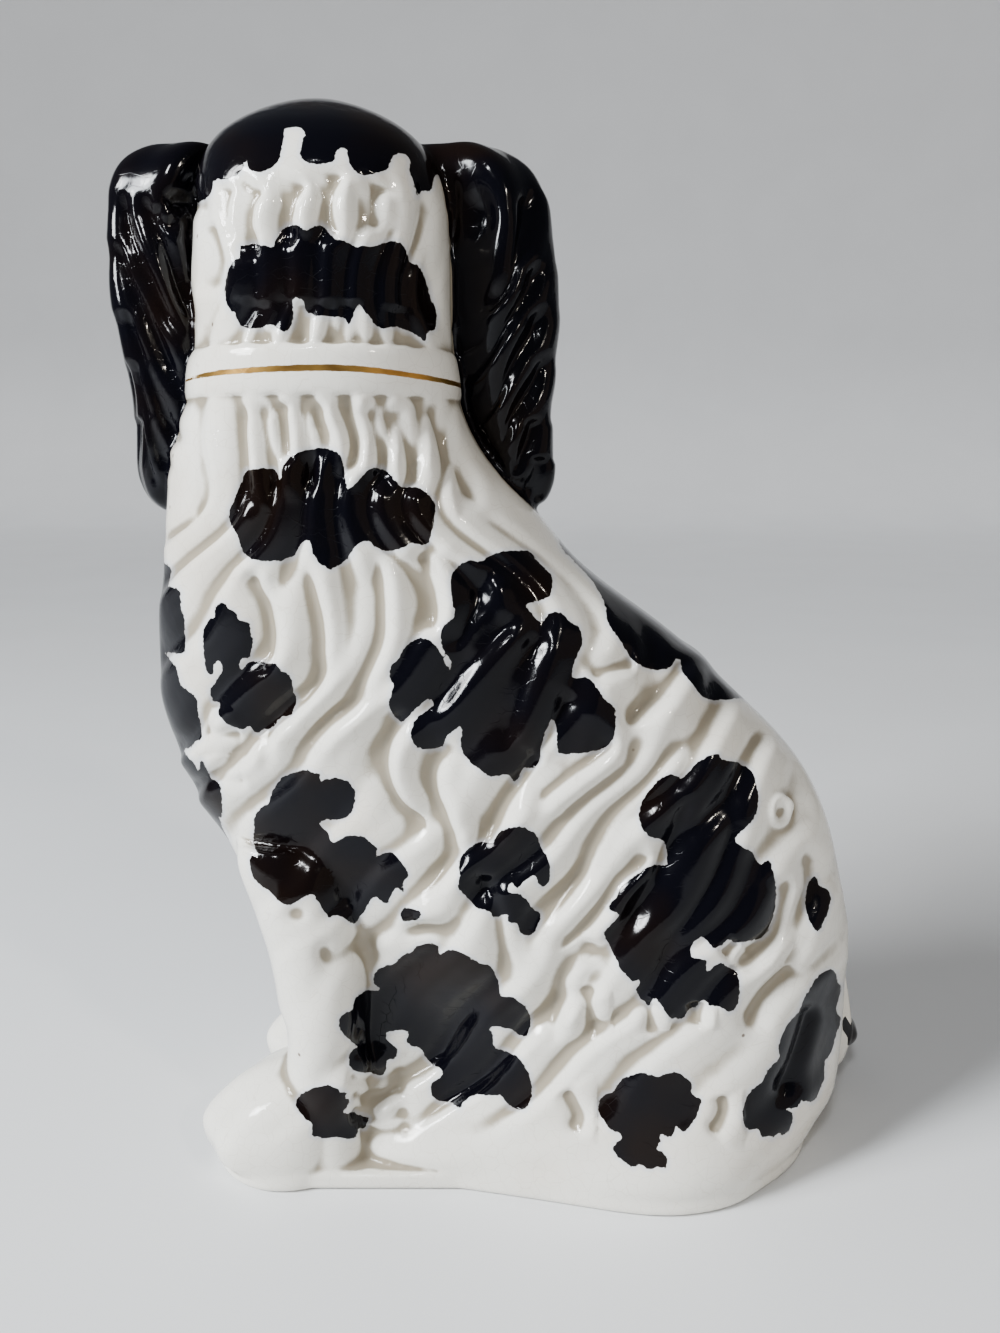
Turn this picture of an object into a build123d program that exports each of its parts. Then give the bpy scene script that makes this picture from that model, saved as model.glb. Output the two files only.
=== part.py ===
from build123d import *
import math
import os

# A seated spaniel mantel ornament in press-moulded earthenware. The body lies along X with the chest at
# -X and the rump at +X. Its plain back faces -Y, and the head is turned to look along +Y. The hollow body
# is pressed in two halves that meet on the parting plane at Y = 0, with a roll of clay thumbed over the
# parting line inside, and a slab closes it below. The ears, the forelegs, the tail and the padlock are
# pressed apart and stuck on with slip, so each is cut to the surface that carries it. Lengths are in
# millimetres.

# Whole figure
figure_height = 320.0
figure_length = 240.0
trunk_depth = 84.0

# Clay
wall = 5.5
seam_roll_thickness = 3.0
seam_roll_width = 14.0

# Base slab
base_thickness = 6.0
base_edge = 1.6
foot_ring_width = 10.0
foot_hollow_depth = 2.5

# Vent hole in the haunch
vent_radius = 1.7
vent_height = 119.5
vent_along = 82.0

# Collar
collar_height = 12.5
collar_middle = 243.5
collar_proud = 0.8
collar_edge = 1.6

# Muzzle
head_middle = -53.0
muzzle_length = 20.0
muzzle_width = 34.0
muzzle_height = 29.0
muzzle_middle = 264.0

# Ears
ear_length = 104.0
ear_width = 31.0
ear_depth = 34.0
ear_top = 308.5
ear_spread = 47.0
ear_set_forward = 4.0
ear_lean = -1.5
ear_lean_difference = 8.0
ear_lock_relief = 1.1

# Forelegs
foreleg_height = 112.0
foreleg_width = 31.0
foreleg_depth = 37.0
foreleg_middle = -56.5
foreleg_apart = 46.0
paw_length = 46.0
paw_depth = 40.0
paw_height = 34.0
paw_middle = -69.5
toe_relief = 1.2

# Tail
tail_thickness = 21.0
tail_rise = 74.0

# Padlock
padlock_width = 12.0
padlock_height = 11.0
padlock_proud = 3.0
padlock_round = 1.2
padlock_drop = 10.0
shackle_thickness = 2.2

# Modelling
overrun = 2.0
section_points = 28
lock_count = 5
toe_count = 3

# The trunk from the slab to the crown. Each row holds the height as a share of the figure's height, the
# chest and the back line as shares of its length, the near and the far side as shares of half the trunk's
# depth, and how square the outline is, where 2 is an ellipse.
trunk_shares = (
    (0.019, -0.262, 0.430, 1.01, 0.98, 2.90),
    (0.066, -0.262, 0.462, 0.98, 0.96, 2.80),
    (0.131, -0.265, 0.473, 0.90, 0.90, 2.75),
    (0.206, -0.285, 0.468, 0.87, 0.87, 2.65),
    (0.281, -0.338, 0.447, 0.91, 0.90, 2.55),
    (0.350, -0.397, 0.421, 0.95, 0.94, 2.45),
    (0.406, -0.428, 0.378, 0.99, 0.98, 2.35),
    (0.469, -0.446, 0.294, 1.02, 1.00, 2.25),
    (0.531, -0.445, 0.201, 1.02, 1.00, 2.25),
    (0.594, -0.432, 0.090, 1.00, 0.98, 2.25),
    (0.647, -0.423, 0.029, 0.98, 0.95, 2.25),
    (0.694, -0.411, -0.028, 0.95, 0.92, 2.25),
    (0.737, -0.389, -0.056, 0.93, 0.90, 2.25),
    (0.781, -0.376, -0.064, 0.93, 0.89, 2.25),
    (0.837, -0.371, -0.066, 0.95, 0.92, 2.25),
    (0.887, -0.368, -0.068, 0.96, 0.97, 2.25),
    (0.925, -0.362, -0.076, 0.87, 0.95, 2.25),
    (0.950, -0.348, -0.092, 0.75, 0.88, 2.25),
    (0.972, -0.322, -0.118, 0.57, 0.73, 2.25),
    (0.989, -0.286, -0.155, 0.36, 0.50, 2.25),
    (0.998, -0.250, -0.190, 0.18, 0.24, 2.25),
)

# Swellings and hollows of the trunk's sides: the side (-1 near, +1 far), the middle along the length and
# up the height, the reach along both, and the rise, as shares of the length, the height and half the depth.
swell_shares = (
    (-1, 0.250, 0.190, 0.190, 0.150, 0.27),
    (1, 0.250, 0.190, 0.190, 0.150, 0.27),
    (-1, 0.215, 0.020, 0.175, 0.080, 0.20),
    (1, 0.200, 0.020, 0.170, 0.080, 0.12),
    (-1, -0.030, 0.275, 0.085, 0.075, 0.14),
    (1, -0.030, 0.275, 0.085, 0.075, 0.14),
    (-1, -0.090, 0.125, 0.070, 0.070, -0.18),
    (1, -0.090, 0.125, 0.070, 0.070, -0.18),
    (1, -0.070, 0.030, 0.100, 0.045, 0.22),
    (-1, -0.330, 0.430, 0.110, 0.120, 0.06),
    (1, -0.330, 0.430, 0.110, 0.120, 0.10),
    (1, -0.221, 0.915, 0.085, 0.035, 0.13),
    (1, -0.300, 0.820, 0.050, 0.045, 0.10),
    (1, -0.142, 0.820, 0.050, 0.045, 0.10),
)

# The muzzle from inside the face to its tip: the place as a share of its length, then the width and the
# height as shares of its own, and the drop as a share of its height.
muzzle_shares = (
    (-0.90, 1.40, 1.40, 0.06),
    (-0.30, 1.24, 1.22, 0.04),
    (0.20, 1.06, 1.02, 0.01),
    (0.62, 0.88, 0.84, -0.03),
    (0.90, 0.60, 0.56, -0.05),
)

# An ear from its root to its tip: the place as a share of its length, the middle's step outwards as a
# share of its width, and the width and the depth as shares of its own.
ear_shares = (
    (0.000, -0.31, 0.73, 0.46),
    (0.059, -0.13, 0.95, 0.80),
    (0.226, 0.04, 0.96, 1.00),
    (0.410, 0.06, 1.00, 1.06),
    (0.570, 0.01, 1.00, 1.06),
    (0.710, 0.02, 0.87, 1.00),
    (0.820, 0.09, 0.74, 0.92),
    (0.930, 0.15, 0.54, 0.72),
    (0.985, 0.13, 0.30, 0.42),
)

# A foreleg from the slab to the elbow: the place as a share of its height, the middle's step towards the
# chest as a share of its width, and the width and the depth as shares of its own.
foreleg_shares = (
    (0.00, 0.00, 1.02, 0.96),
    (0.30, -0.02, 0.96, 0.96),
    (0.50, 0.00, 0.98, 0.99),
    (0.68, 0.06, 1.06, 1.01),
    (0.84, 0.17, 1.16, 0.96),
    (0.97, 0.30, 1.00, 0.70),
)

# A paw from the slab to the ankle: the place as a share of its height, the middle's step back towards the
# leg as a share of its length, and the length and the depth as shares of its own.
paw_shares = (
    (0.00, 0.00, 0.98, 0.98),
    (0.35, 0.00, 1.04, 1.03),
    (0.65, 0.05, 0.92, 0.93),
    (0.88, 0.12, 0.62, 0.68),
    (0.98, 0.16, 0.30, 0.36),
)

# How much of the two paws' depth the slab keeps on its way back to the trunk
plinth_share = 0.92

# The tail's middle line round the rump and up the far haunch, as shares of half the figure's length, half
# the trunk's depth and the tail's rise, and its thickness as a share of its own.
tail_shares = (
    (0.850, 0.14, 0.62, 0.72),
    (0.905, 0.38, 0.46, 0.98),
    (0.880, 0.76, 0.30, 1.04),
    (0.750, 1.04, 0.30, 1.02),
    (0.580, 1.15, 0.44, 0.94),
    (0.500, 1.18, 0.70, 0.76),
    (0.530, 1.15, 0.93, 0.44),
)


def between(rows, place):
    """The values of a table's row at any place, on a smooth curve through its rows."""
    places = [row[0] for row in rows]
    place = min(max(place, places[0]), places[-1])
    low = max(i for i in range(len(rows) - 1) if places[i] <= place)
    span = places[low + 1] - places[low]
    part = (place - places[low]) / span
    values = []
    for column in range(1, len(rows[0])):
        slopes = []
        for i in (low, low + 1):
            before, after = max(i - 1, 0), min(i + 1, len(rows) - 1)
            rise = rows[after][column] - rows[before][column]
            slopes.append(span * rise / (places[after] - places[before]))
        start, stop = rows[low][column], rows[low + 1][column]
        rest = 1 - part
        values.append(
            start * (1 + 2 * part) * rest**2
            + slopes[0] * part * rest**2
            + stop * part**2 * (1 + 2 * rest)
            - slopes[1] * part**2 * rest
        )
    return values


def swell(side, along, height):
    """How far the trunk's side stands out at one place, as a share of half its depth."""
    total = 0.0
    for lobe_side, middle, climb, reach, spread, rise in swell_shares:
        if lobe_side == side:
            away = (along / figure_length - middle) / reach
            above = (height / figure_height - climb) / spread
            total += rise * math.exp(-(away**2) - above**2)
    return total


def squared(value, square):
    """The cosine or sine of a point on the trunk's outline, squared off."""
    return math.copysign(abs(value) ** (2 / square), value)


def trunk_section(height, inset=0.0):
    """The trunk's outline at one height, moved in by inset."""
    chest, back, near, far, square = between(trunk_shares, height / figure_height)
    middle = (chest + back) / 2 * figure_length
    half_length = (back - chest) / 2 * figure_length
    points = []
    for i in range(section_points):
        turn = 2 * math.pi * i / section_points
        along, across = squared(math.cos(turn), square), squared(math.sin(turn), square)
        side = 1 if across > 0 else -1
        share = (far if side > 0 else near) + swell(side, middle + half_length * along, height)
        depth = share * trunk_depth / 2 - inset
        points.append((middle + (half_length - inset) * along, depth * across))
    return make_face(Spline(*points, periodic=True))


def trunk_solid(inset=0.0):
    """The trunk from the slab to the crown, moved in by inset all round and above."""
    top = figure_height - inset
    lowest = trunk_shares[0][0]
    sections = []
    for row in trunk_shares:
        climb = (row[0] - lowest) / (1 - lowest)
        height = row[0] * figure_height
        place = base_thickness + climb * (top - base_thickness)
        sections.append(Pos(0, 0, place) * trunk_section(height, inset))
    chest, back = trunk_shares[-1][1:3]
    crown = Vertex((chest + back) / 2 * figure_length, 0, top)
    return loft([*sections, crown])


def side_place(side, along, height):
    """The place across of the trunk's near or far side."""
    chest, back, near, far, square = between(trunk_shares, height / figure_height)
    middle = (chest + back) / 2 * figure_length
    half_length = (back - chest) / 2 * figure_length
    along_share = abs((along - middle) / half_length) ** square
    share = (far if side > 0 else near) + swell(side, along, height)
    return side * share * trunk_depth / 2 * max(1 - along_share, 0) ** (1 / square)


def collar_solid():
    """The smooth band round the neck, from inside the trunk's surface to its proud face."""
    low, high = collar_middle - collar_height / 2, collar_middle + collar_height / 2
    steps = (
        (low, collar_proud),
        (low + collar_edge, -collar_proud),
        (high - collar_edge, -collar_proud),
        (high, collar_proud),
    )
    sections = [Pos(0, 0, height) * trunk_section(height, inset) for height, inset in steps]
    return loft(sections, ruled=True)


def muzzle_solid(inset=0.0):
    """The muzzle on the far side of the head, moved in by inset."""
    face = side_place(1, head_middle, muzzle_middle)
    sections = []
    for place, width, height, drop in muzzle_shares:
        middle = (head_middle, face + place * muzzle_length - inset, muzzle_middle - drop * muzzle_height)
        half_width = width * muzzle_width / 2 - inset
        half_height = height * muzzle_height / 2 - inset
        plane = Plane(origin=middle, x_dir=(1, 0, 0), z_dir=(0, 1, 0))
        sections.append(plane * Ellipse(half_width, half_height))
    tip = Vertex(head_middle, face + muzzle_length - inset, muzzle_middle)
    return loft([*sections, tip])


def lobed_section(middle, half_length, half_depth, lobes, relief, turn=0.0, front_only=False):
    """An oval outline whose edge waves in and out once for each lobe."""
    count = lobes * 5 if front_only else lobes * 4
    count *= 2 if front_only else 1
    points = []
    for i in range(count):
        angle = 2 * math.pi * i / count
        wave = relief * math.cos(lobes * angle + turn)
        if front_only:
            wave = relief * math.cos(2 * lobes * (angle - math.pi)) * max(-math.cos(angle), 0)
        points.append(
            (
                middle[0] + (half_length + wave) * math.cos(angle),
                middle[1] + (half_depth + wave) * math.sin(angle),
            )
        )
    return Pos(0, 0, middle[2]) * make_face(Spline(*points, periodic=True))


def ear_solid(side, lean):
    """A hanging ear on one side of the head, with twisted locks."""
    sections = []
    for place, step, width, depth in ear_shares:
        out = ear_spread + step * ear_width + lean * place
        middle = (head_middle + side * out, ear_set_forward, ear_top - place * ear_length)
        relief = ear_lock_relief * width
        sections.append(
            lobed_section(
                middle,
                width * ear_width / 2,
                depth * ear_depth / 2,
                lock_count,
                relief,
                side * place * math.pi,
            )
        )
    last = ear_shares[-1]
    out = ear_spread + last[1] * ear_width + lean
    tip = Vertex(head_middle + side * out, ear_set_forward, ear_top - ear_length)
    return loft([*sections, tip])


def foreleg_solid(side):
    """A foreleg with its paw, standing on the slab."""
    across = side * foreleg_apart / 2
    rise = foreleg_height - base_thickness
    leg = []
    for place, step, width, depth in foreleg_shares:
        middle = (foreleg_middle - step * foreleg_width, across, base_thickness + place * rise)
        leg.append(Pos(*middle) * Ellipse(width * foreleg_width / 2, depth * foreleg_depth / 2))
    paw = []
    for place, step, length, depth in paw_shares:
        middle = (
            paw_middle + step * paw_length,
            across,
            base_thickness + place * (paw_height - base_thickness),
        )
        half_length, half_depth = length * paw_length / 2, depth * paw_depth / 2
        paw.append(
            lobed_section(middle, half_length, half_depth, toe_count, toe_relief * length, 0.0, True)
        )
    top = Vertex(paw_middle + paw_shares[-1][1] * paw_length, across, paw_height)
    return loft(leg) + loft([*paw, top])


def tail_solid():
    """The tail, curled round the rump and up the far haunch."""
    points = [
        (along * figure_length / 2, across * trunk_depth / 2, rise * tail_rise)
        for along, across, rise, thickness in tail_shares
    ]
    line = Spline(*points)
    sections = []
    for i, row in enumerate(tail_shares):
        share = i / (len(tail_shares) - 1)
        plane = Plane(origin=line @ share, z_dir=line % share)
        sections.append(plane * Circle(row[3] * tail_thickness / 2))
    return loft(sections)


def padlock_solid():
    """The padlock under the collar on the far side."""
    height = collar_middle - collar_height / 2 - padlock_drop
    face = side_place(1, head_middle, height)
    depth = 2 * (padlock_proud + overrun)
    body = Box(padlock_width, depth, padlock_height)
    body = fillet(body.edges().filter_by(Axis.Y), padlock_round)
    shackle = Torus(padlock_width / 2 - shackle_thickness, shackle_thickness / 2)
    shackle = Pos(0, depth / 2 - shackle_thickness / 2, padlock_height / 2) * Rot(90, 0, 0) * shackle
    return Pos(head_middle, face + padlock_proud - depth / 2, height) * (body + shackle)


def base_solid():
    """The slab under the halves and the paws, hollowed below inside a flat foot ring."""
    lowest = trunk_shares[0][0] * figure_height
    outline = trunk_section(lowest)
    for side in (-1, 1):
        outline += Pos(paw_middle, side * foreleg_apart / 2) * Ellipse(paw_length / 2, paw_depth / 2)
    outline += Pos(paw_middle / 2, 0) * Rectangle(-paw_middle, foreleg_apart + plinth_share * paw_depth)
    slab = extrude(outline, base_thickness)
    slab = chamfer(slab.faces().sort_by(Axis.Z)[0].outer_wire().edges(), base_edge)
    return slab - extrude(trunk_section(lowest, foot_ring_width), foot_hollow_depth)


def vent_bore():
    """The bore of the vent, square to the near haunch."""
    step = vent_radius
    middle = side_place(-1, vent_along, vent_height)
    slope = side_place(-1, vent_along + step, vent_height) - side_place(-1, vent_along - step, vent_height)
    rise = side_place(-1, vent_along, vent_height + step) - side_place(-1, vent_along, vent_height - step)
    outwards = Vector(slope, -2 * step, rise)
    plane = Plane(origin=(vent_along, middle, vent_height), z_dir=outwards)
    return plane * Cylinder(vent_radius, 4 * wall)


trunk = trunk_solid() + collar_solid() + muzzle_solid()
cavity = trunk_solid(wall) + muzzle_solid(wall)
shell = trunk - cavity - vent_bore()
back_shell = split(shell, bisect_by=Plane.XZ, keep=Keep.TOP)
front_shell = split(shell, bisect_by=Plane.XZ, keep=Keep.BOTTOM)
roll_band = Pos(0, 0, figure_height / 2) * Box(2 * figure_length, seam_roll_width, figure_height)
seam_roll = (trunk_solid(wall) & roll_band) - trunk_solid(wall + seam_roll_thickness)

pieces = {
    "back_shell": back_shell,
    "front_shell": front_shell,
    "base_slab": base_solid(),
    "left_ear": ear_solid(-1, ear_lean) - trunk,
    "right_ear": ear_solid(1, ear_lean + ear_lean_difference) - trunk,
    "near_foreleg": foreleg_solid(-1) - trunk,
    "far_foreleg": foreleg_solid(1) - trunk,
    "tail": tail_solid() - trunk,
    "padlock": padlock_solid() - trunk,
    "seam_roll": seam_roll,
}

# The origin is the middle of the bounding box's underside.
whole = Compound(children=[Compound(list(piece.solids())) for piece in pieces.values()])
box = whole.bounding_box()
to_origin = Pos(-(box.min.X + box.max.X) / 2, -(box.min.Y + box.max.Y) / 2, -box.min.Z)

print("origin moved by", to_origin.position)
os.makedirs("parts", exist_ok=True)
for name, piece in pieces.items():
    solids = [to_origin * solid for solid in piece.solids()]
    export_step(Compound(solids) if len(solids) > 1 else solids[0], f"parts/{name}.step")
    print(name, len(solids), [round(solid.volume) for solid in solids])
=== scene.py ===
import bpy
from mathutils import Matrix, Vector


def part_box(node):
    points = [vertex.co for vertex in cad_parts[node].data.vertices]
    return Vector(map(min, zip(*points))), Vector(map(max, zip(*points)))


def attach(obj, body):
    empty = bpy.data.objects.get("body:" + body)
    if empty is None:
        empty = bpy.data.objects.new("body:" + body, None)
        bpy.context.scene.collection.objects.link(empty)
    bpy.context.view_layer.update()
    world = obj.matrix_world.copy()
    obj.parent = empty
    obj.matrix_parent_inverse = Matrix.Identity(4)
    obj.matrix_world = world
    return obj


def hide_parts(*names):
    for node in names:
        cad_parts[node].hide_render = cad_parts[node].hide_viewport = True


bl_info = {
    "name": "Seated spaniel mantel ornament",
    "version": (1, 0, 0),
    "blender": (4, 5, 0),
    "location": "3D View > Sidebar > Spaniel",
    "description": "Models, paints and glazes a press-moulded earthenware spaniel on its packed frame",
    "category": "Object",
}

import math

import bpy
import numpy as np
from mathutils import Vector
from mathutils.kdtree import KDTree

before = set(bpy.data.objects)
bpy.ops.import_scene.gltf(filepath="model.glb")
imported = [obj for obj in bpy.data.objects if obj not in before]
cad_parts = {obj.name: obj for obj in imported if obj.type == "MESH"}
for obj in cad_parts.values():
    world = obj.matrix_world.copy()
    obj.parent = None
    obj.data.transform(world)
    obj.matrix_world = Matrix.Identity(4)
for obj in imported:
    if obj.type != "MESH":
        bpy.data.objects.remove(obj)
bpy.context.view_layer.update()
MM = 0.001
BACK_LOW, BACK_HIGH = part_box("back_shell")
PARTING = BACK_HIGH.y
ANCHOR = (BACK_LOW.x + BACK_HIGH.x) / 2
TOP = BACK_HIGH.z

# The middle of the head along the figure
HEAD_ALONG = ANCHOR - 56.1 * MM

# The pieces stuck on to the shells, with their material slots, and those painted black all over
ADDED = {
    "left_ear": "black_enamel",
    "right_ear": "black_enamel",
    "near_foreleg": "earthenware",
    "far_foreleg": "earthenware",
    "tail": "earthenware",
}
BLACK = ("left_ear", "right_ear", "tail")

# Grain of the meshes that only cut, of the padlock and of the roll inside
CUTTING_GRAIN = 1.5 * MM
PADLOCK_GRAIN = 0.28 * MM
ROLL_GRAIN = 1.3 * MM

# How far a cutting mesh stands out beyond its piece, so that it takes the piece's relief with it
CUTTING_REACH = 2.4 * MM

# Half widths in pixels of the steep side of a furrow in the coat and in an ear
COAT_EDGE = 9
EAR_EDGE = 7

# Rounds of smoothing that a vertex is measured against to tell how hollow its place is
HOLLOW_ROUNDS = 56

# Depth given where there is no paint, and where a piece is painted all over, in millimetres
BARE = -9.0
COVERED = 9.0

# The collar's smooth band and how far it stands out
COLLAR_LOW = 237.2
COLLAR_HIGH = 249.8
COLLAR_RISE = 0.55 * MM

# The gilt line's height at the middle of the neck, its drop at the sides and half its width
GILT_HEIGHT = 243.7
GILT_DROP = 2.1
GILT_HALF = 0.74

# The vent's mouth in the photograph and how far round it the shell is searched, in pixels, then the
# raised ring's radius, rise and reach and the hole's depth and reach
VENT_PIXEL = (791, 805)
VENT_SEARCH = 16
VENT_RING = 3.9 * MM
VENT_RING_RISE = 1.1 * MM
VENT_RING_REACH = 1.2 * MM
VENT_DEPTH = 2.0 * MM
VENT_REACH = 1.7 * MM

# The whisker dots' radius, and how far before the face they are thrown on to it from
WHISKER_RADIUS = 0.65 * MM
LOOK_FROM = 80 * MM

# Thumb marks round the roll inside, half their height and how much thinner the roll dries
THUMB_MARKS = 38
THUMB_RISE = 0.45 * MM
THUMB_SPREAD = 4.5 * MM
ROLL_SHRINK = 0.5 * MM

# The floor: half its width, how far it goes back before its bend, the bend and the wall's height
FLOOR_REACH = 4.0
FLOOR_DEPTH = 2.6
FLOOR_BEND = 0.6
FLOOR_BEND_STEPS = 8
WALL_HEIGHT = 2.5

# Distant lights: name, the way they shine, width in degrees, strength, colour
FAR_LIGHTS = (
    ("daylight", (1.0, 0.42, -0.66), 18, 2.6, (0.98, 0.99, 1.0)),
    ("room_glow", (-1.0, 0.5, 0.1), 70, 0.32, (1.0, 0.72, 0.50)),
)

# Lights that look at the figure's middle: name, place, width and height, watts, colour
NEAR_LIGHTS = (
    ("window", (-0.9, -0.6, 0.8), (0.22, 0.5), 13, (0.93, 0.97, 1.0)),
    ("high_window", (-0.25, -1.0, 1.1), (0.14, 0.14), 4.5, (0.96, 0.98, 1.0)),
    ("lamp", (0.75, -0.9, 0.95), (0.08, 0.08), 3.0, (1.0, 0.93, 0.82)),
)
LIT_HEIGHT = 0.16
SKY_COLOUR = (0.82, 0.86, 0.92, 1)
SKY_STRENGTH = 0.13
FILM_HEIGHT = 36.0

# The photograph: its size and focal length in pixels, and the camera's place from the figure
PHOTO_WIDTH = 1000
PHOTO_HEIGHT = 1333
PHOTO_FOCAL = 1001.0
CAMERA_ALONG = -5.5 * MM
CAMERA_BACK = 308.43 * MM
CAMERA_RISE = 222.5 * MM
CAMERA_PITCH = math.radians(12.0948)
CAMERA = np.array([ANCHOR + CAMERA_ALONG, PARTING - CAMERA_BACK, CAMERA_RISE])

# Enamel patches on the near side, outlined in the photograph's pixels
HEAD_CAP = (
    (193, 198), (196, 203), (203, 200), (211, 193), (214, 181), (226, 179), (236, 175), (242, 170),
    (244, 161), (248, 162), (249, 169), (257, 173), (269, 170), (278, 161), (282, 150), (284, 138),
    (286, 128), (300, 128), (304, 136), (300, 152), (304, 160), (314, 164), (334, 161), (336, 151),
    (346, 149), (348, 156), (353, 169), (360, 175), (372, 174), (387, 169), (394, 155), (408, 156),
    (410, 171), (414, 185), (417, 196), (423, 190), (431, 190), (435, 176), (444, 178), (451, 189),
    (454, 197), (462, 203), (475, 190), (470, 60), (330, 20), (180, 60), (175, 180),
)
HEAD_BACK = (
    (245, 245), (257, 244), (269, 247), (274, 246), (277, 237), (285, 228), (297, 225), (305, 230),
    (314, 227), (323, 226), (333, 238), (345, 241), (356, 247), (363, 245), (370, 247), (380, 244),
    (395, 241), (405, 248), (410, 262), (418, 265), (426, 280), (429, 293), (436, 311), (435, 328),
    (428, 331), (425, 341), (418, 336), (403, 328), (391, 327), (382, 329), (372, 321), (359, 304),
    (352, 319), (348, 324), (343, 318), (325, 316), (308, 313), (303, 300), (293, 299), (293, 319),
    (288, 331), (279, 329), (271, 325), (260, 328), (246, 328), (239, 324), (235, 313), (230, 310),
    (225, 297), (227, 274), (234, 260), (240, 257), (240, 247),
)
NECK = (
    (247, 471), (264, 468), (276, 471), (280, 480), (284, 465), (293, 455), (303, 451), (318, 448),
    (337, 452), (343, 463), (348, 489), (360, 478), (373, 468), (389, 473), (401, 487), (416, 487),
    (429, 496), (435, 508), (432, 531), (426, 545), (412, 543), (403, 548), (386, 551), (375, 546),
    (368, 541), (356, 545), (348, 558), (337, 566), (331, 569), (320, 563), (312, 551), (309, 541),
    (300, 544), (294, 556), (275, 561), (252, 559), (241, 548), (237, 534), (229, 519), (234, 499),
    (242, 482),
)
CHEST_EDGE = (
    (169, 566), (171, 573), (168, 587), (170, 586), (176, 588), (180, 593), (181, 607), (184, 618),
    (185, 641), (184, 654), (166, 652), (168, 657), (176, 667), (178, 675), (182, 686), (190, 692),
    (196, 697), (198, 707), (201, 726), (202, 737), (195, 742), (190, 748), (185, 748), (184, 750),
    (188, 757), (193, 761), (199, 771), (201, 760), (206, 768), (211, 778), (219, 783), (221, 793),
    (222, 801), (222, 817), (219, 818), (223, 829), (228, 845), (200, 850), (140, 760), (130, 600),
    (150, 560),
)
CHEST_PAIR = (
    (221, 603), (225, 604), (229, 609), (235, 612), (239, 619), (245, 622), (250, 624), (251, 635),
    (253, 643), (250, 654), (248, 659), (242, 658), (239, 665), (241, 670), (244, 667), (249, 662),
    (259, 662), (266, 663), (276, 664), (280, 670), (287, 674), (292, 680), (293, 690), (296, 699),
    (295, 707), (291, 715), (285, 716), (279, 719), (276, 724), (270, 728), (263, 729), (260, 732),
    (255, 732), (250, 725), (244, 729), (238, 728), (229, 725), (222, 719), (218, 712), (221, 703),
    (214, 701), (211, 696), (210, 690), (214, 684), (219, 676), (222, 667), (219, 660), (214, 666),
    (214, 671), (212, 675), (208, 673), (205, 665), (203, 645), (203, 633), (207, 623), (211, 618),
    (214, 616), (215, 608),
)
SHOULDER = (
    (480, 562), (470, 560), (460, 565), (451, 576), (451, 595), (455, 616), (444, 625), (441, 638),
    (444, 651), (451, 661), (449, 670), (442, 655), (432, 642), (419, 638), (406, 646), (400, 657),
    (390, 666), (391, 681), (394, 685), (389, 706), (402, 722), (414, 710), (429, 699), (433, 706),
    (418, 717), (411, 732), (417, 747), (440, 748), (447, 736), (461, 726), (461, 745), (467, 759),
    (480, 769), (491, 776), (508, 775), (516, 782), (523, 768), (534, 768), (540, 759), (542, 742),
    (552, 719), (557, 734), (559, 753), (587, 752), (606, 747), (614, 734), (615, 709), (604, 699),
    (598, 689), (587, 677), (573, 678), (574, 663), (582, 644), (579, 627), (570, 623), (561, 613),
    (549, 614), (541, 622), (529, 610), (527, 604), (544, 599), (551, 593), (552, 576), (544, 568),
    (536, 559), (527, 551), (508, 551), (491, 555),
)
SPINE = (
    (560, 544), (576, 563), (593, 582), (604, 602), (609, 625), (621, 642), (634, 661), (649, 669),
    (660, 670), (670, 667), (675, 659), (680, 660), (682, 670), (693, 685), (703, 697), (714, 700),
    (722, 699), (726, 700), (737, 698), (760, 690), (700, 600), (600, 520), (560, 510),
)
UPPER_LEG = (
    (308, 770), (299, 771), (290, 774), (280, 780), (273, 790), (268, 803), (260, 808), (254, 818),
    (254, 828), (253, 837), (255, 848), (258, 857), (251, 856), (250, 866), (253, 876), (260, 885),
    (270, 892), (279, 900), (288, 905), (298, 901), (308, 895), (314, 895), (316, 900), (320, 903),
    (323, 910), (330, 918), (336, 915), (343, 918), (353, 924), (359, 918), (365, 910), (371, 899),
    (375, 897), (381, 901), (388, 903), (390, 897), (396, 888), (404, 892), (403, 884), (408, 875),
    (404, 866), (397, 857), (391, 852), (383, 854), (377, 856), (377, 849), (371, 843), (364, 837),
    (355, 835), (346, 837), (337, 841), (330, 841), (328, 832), (319, 824), (326, 820), (336, 820),
    (346, 817), (353, 810), (355, 799), (354, 790), (349, 783), (342, 779), (330, 778), (321, 781),
    (320, 774), (314, 773),
)
TINY_DOT = ((401, 916), (402, 911), (407, 908), (416, 910), (422, 914), (418, 919), (409, 921), (403, 920))
SMALL_DOT = (
    (516, 827), (506, 829), (498, 834), (493, 843), (483, 842), (473, 845), (465, 852), (459, 861),
    (460, 876), (458, 886), (463, 893), (469, 900), (477, 908), (490, 912), (494, 917), (508, 914),
    (508, 921), (516, 924), (521, 932), (527, 936), (535, 931), (541, 915), (533, 909), (527, 900),
    (519, 894), (508, 892), (510, 882), (518, 888), (525, 880), (534, 875), (539, 884), (545, 886),
    (549, 880), (550, 870), (547, 857), (541, 847), (537, 836), (527, 829),
)
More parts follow.
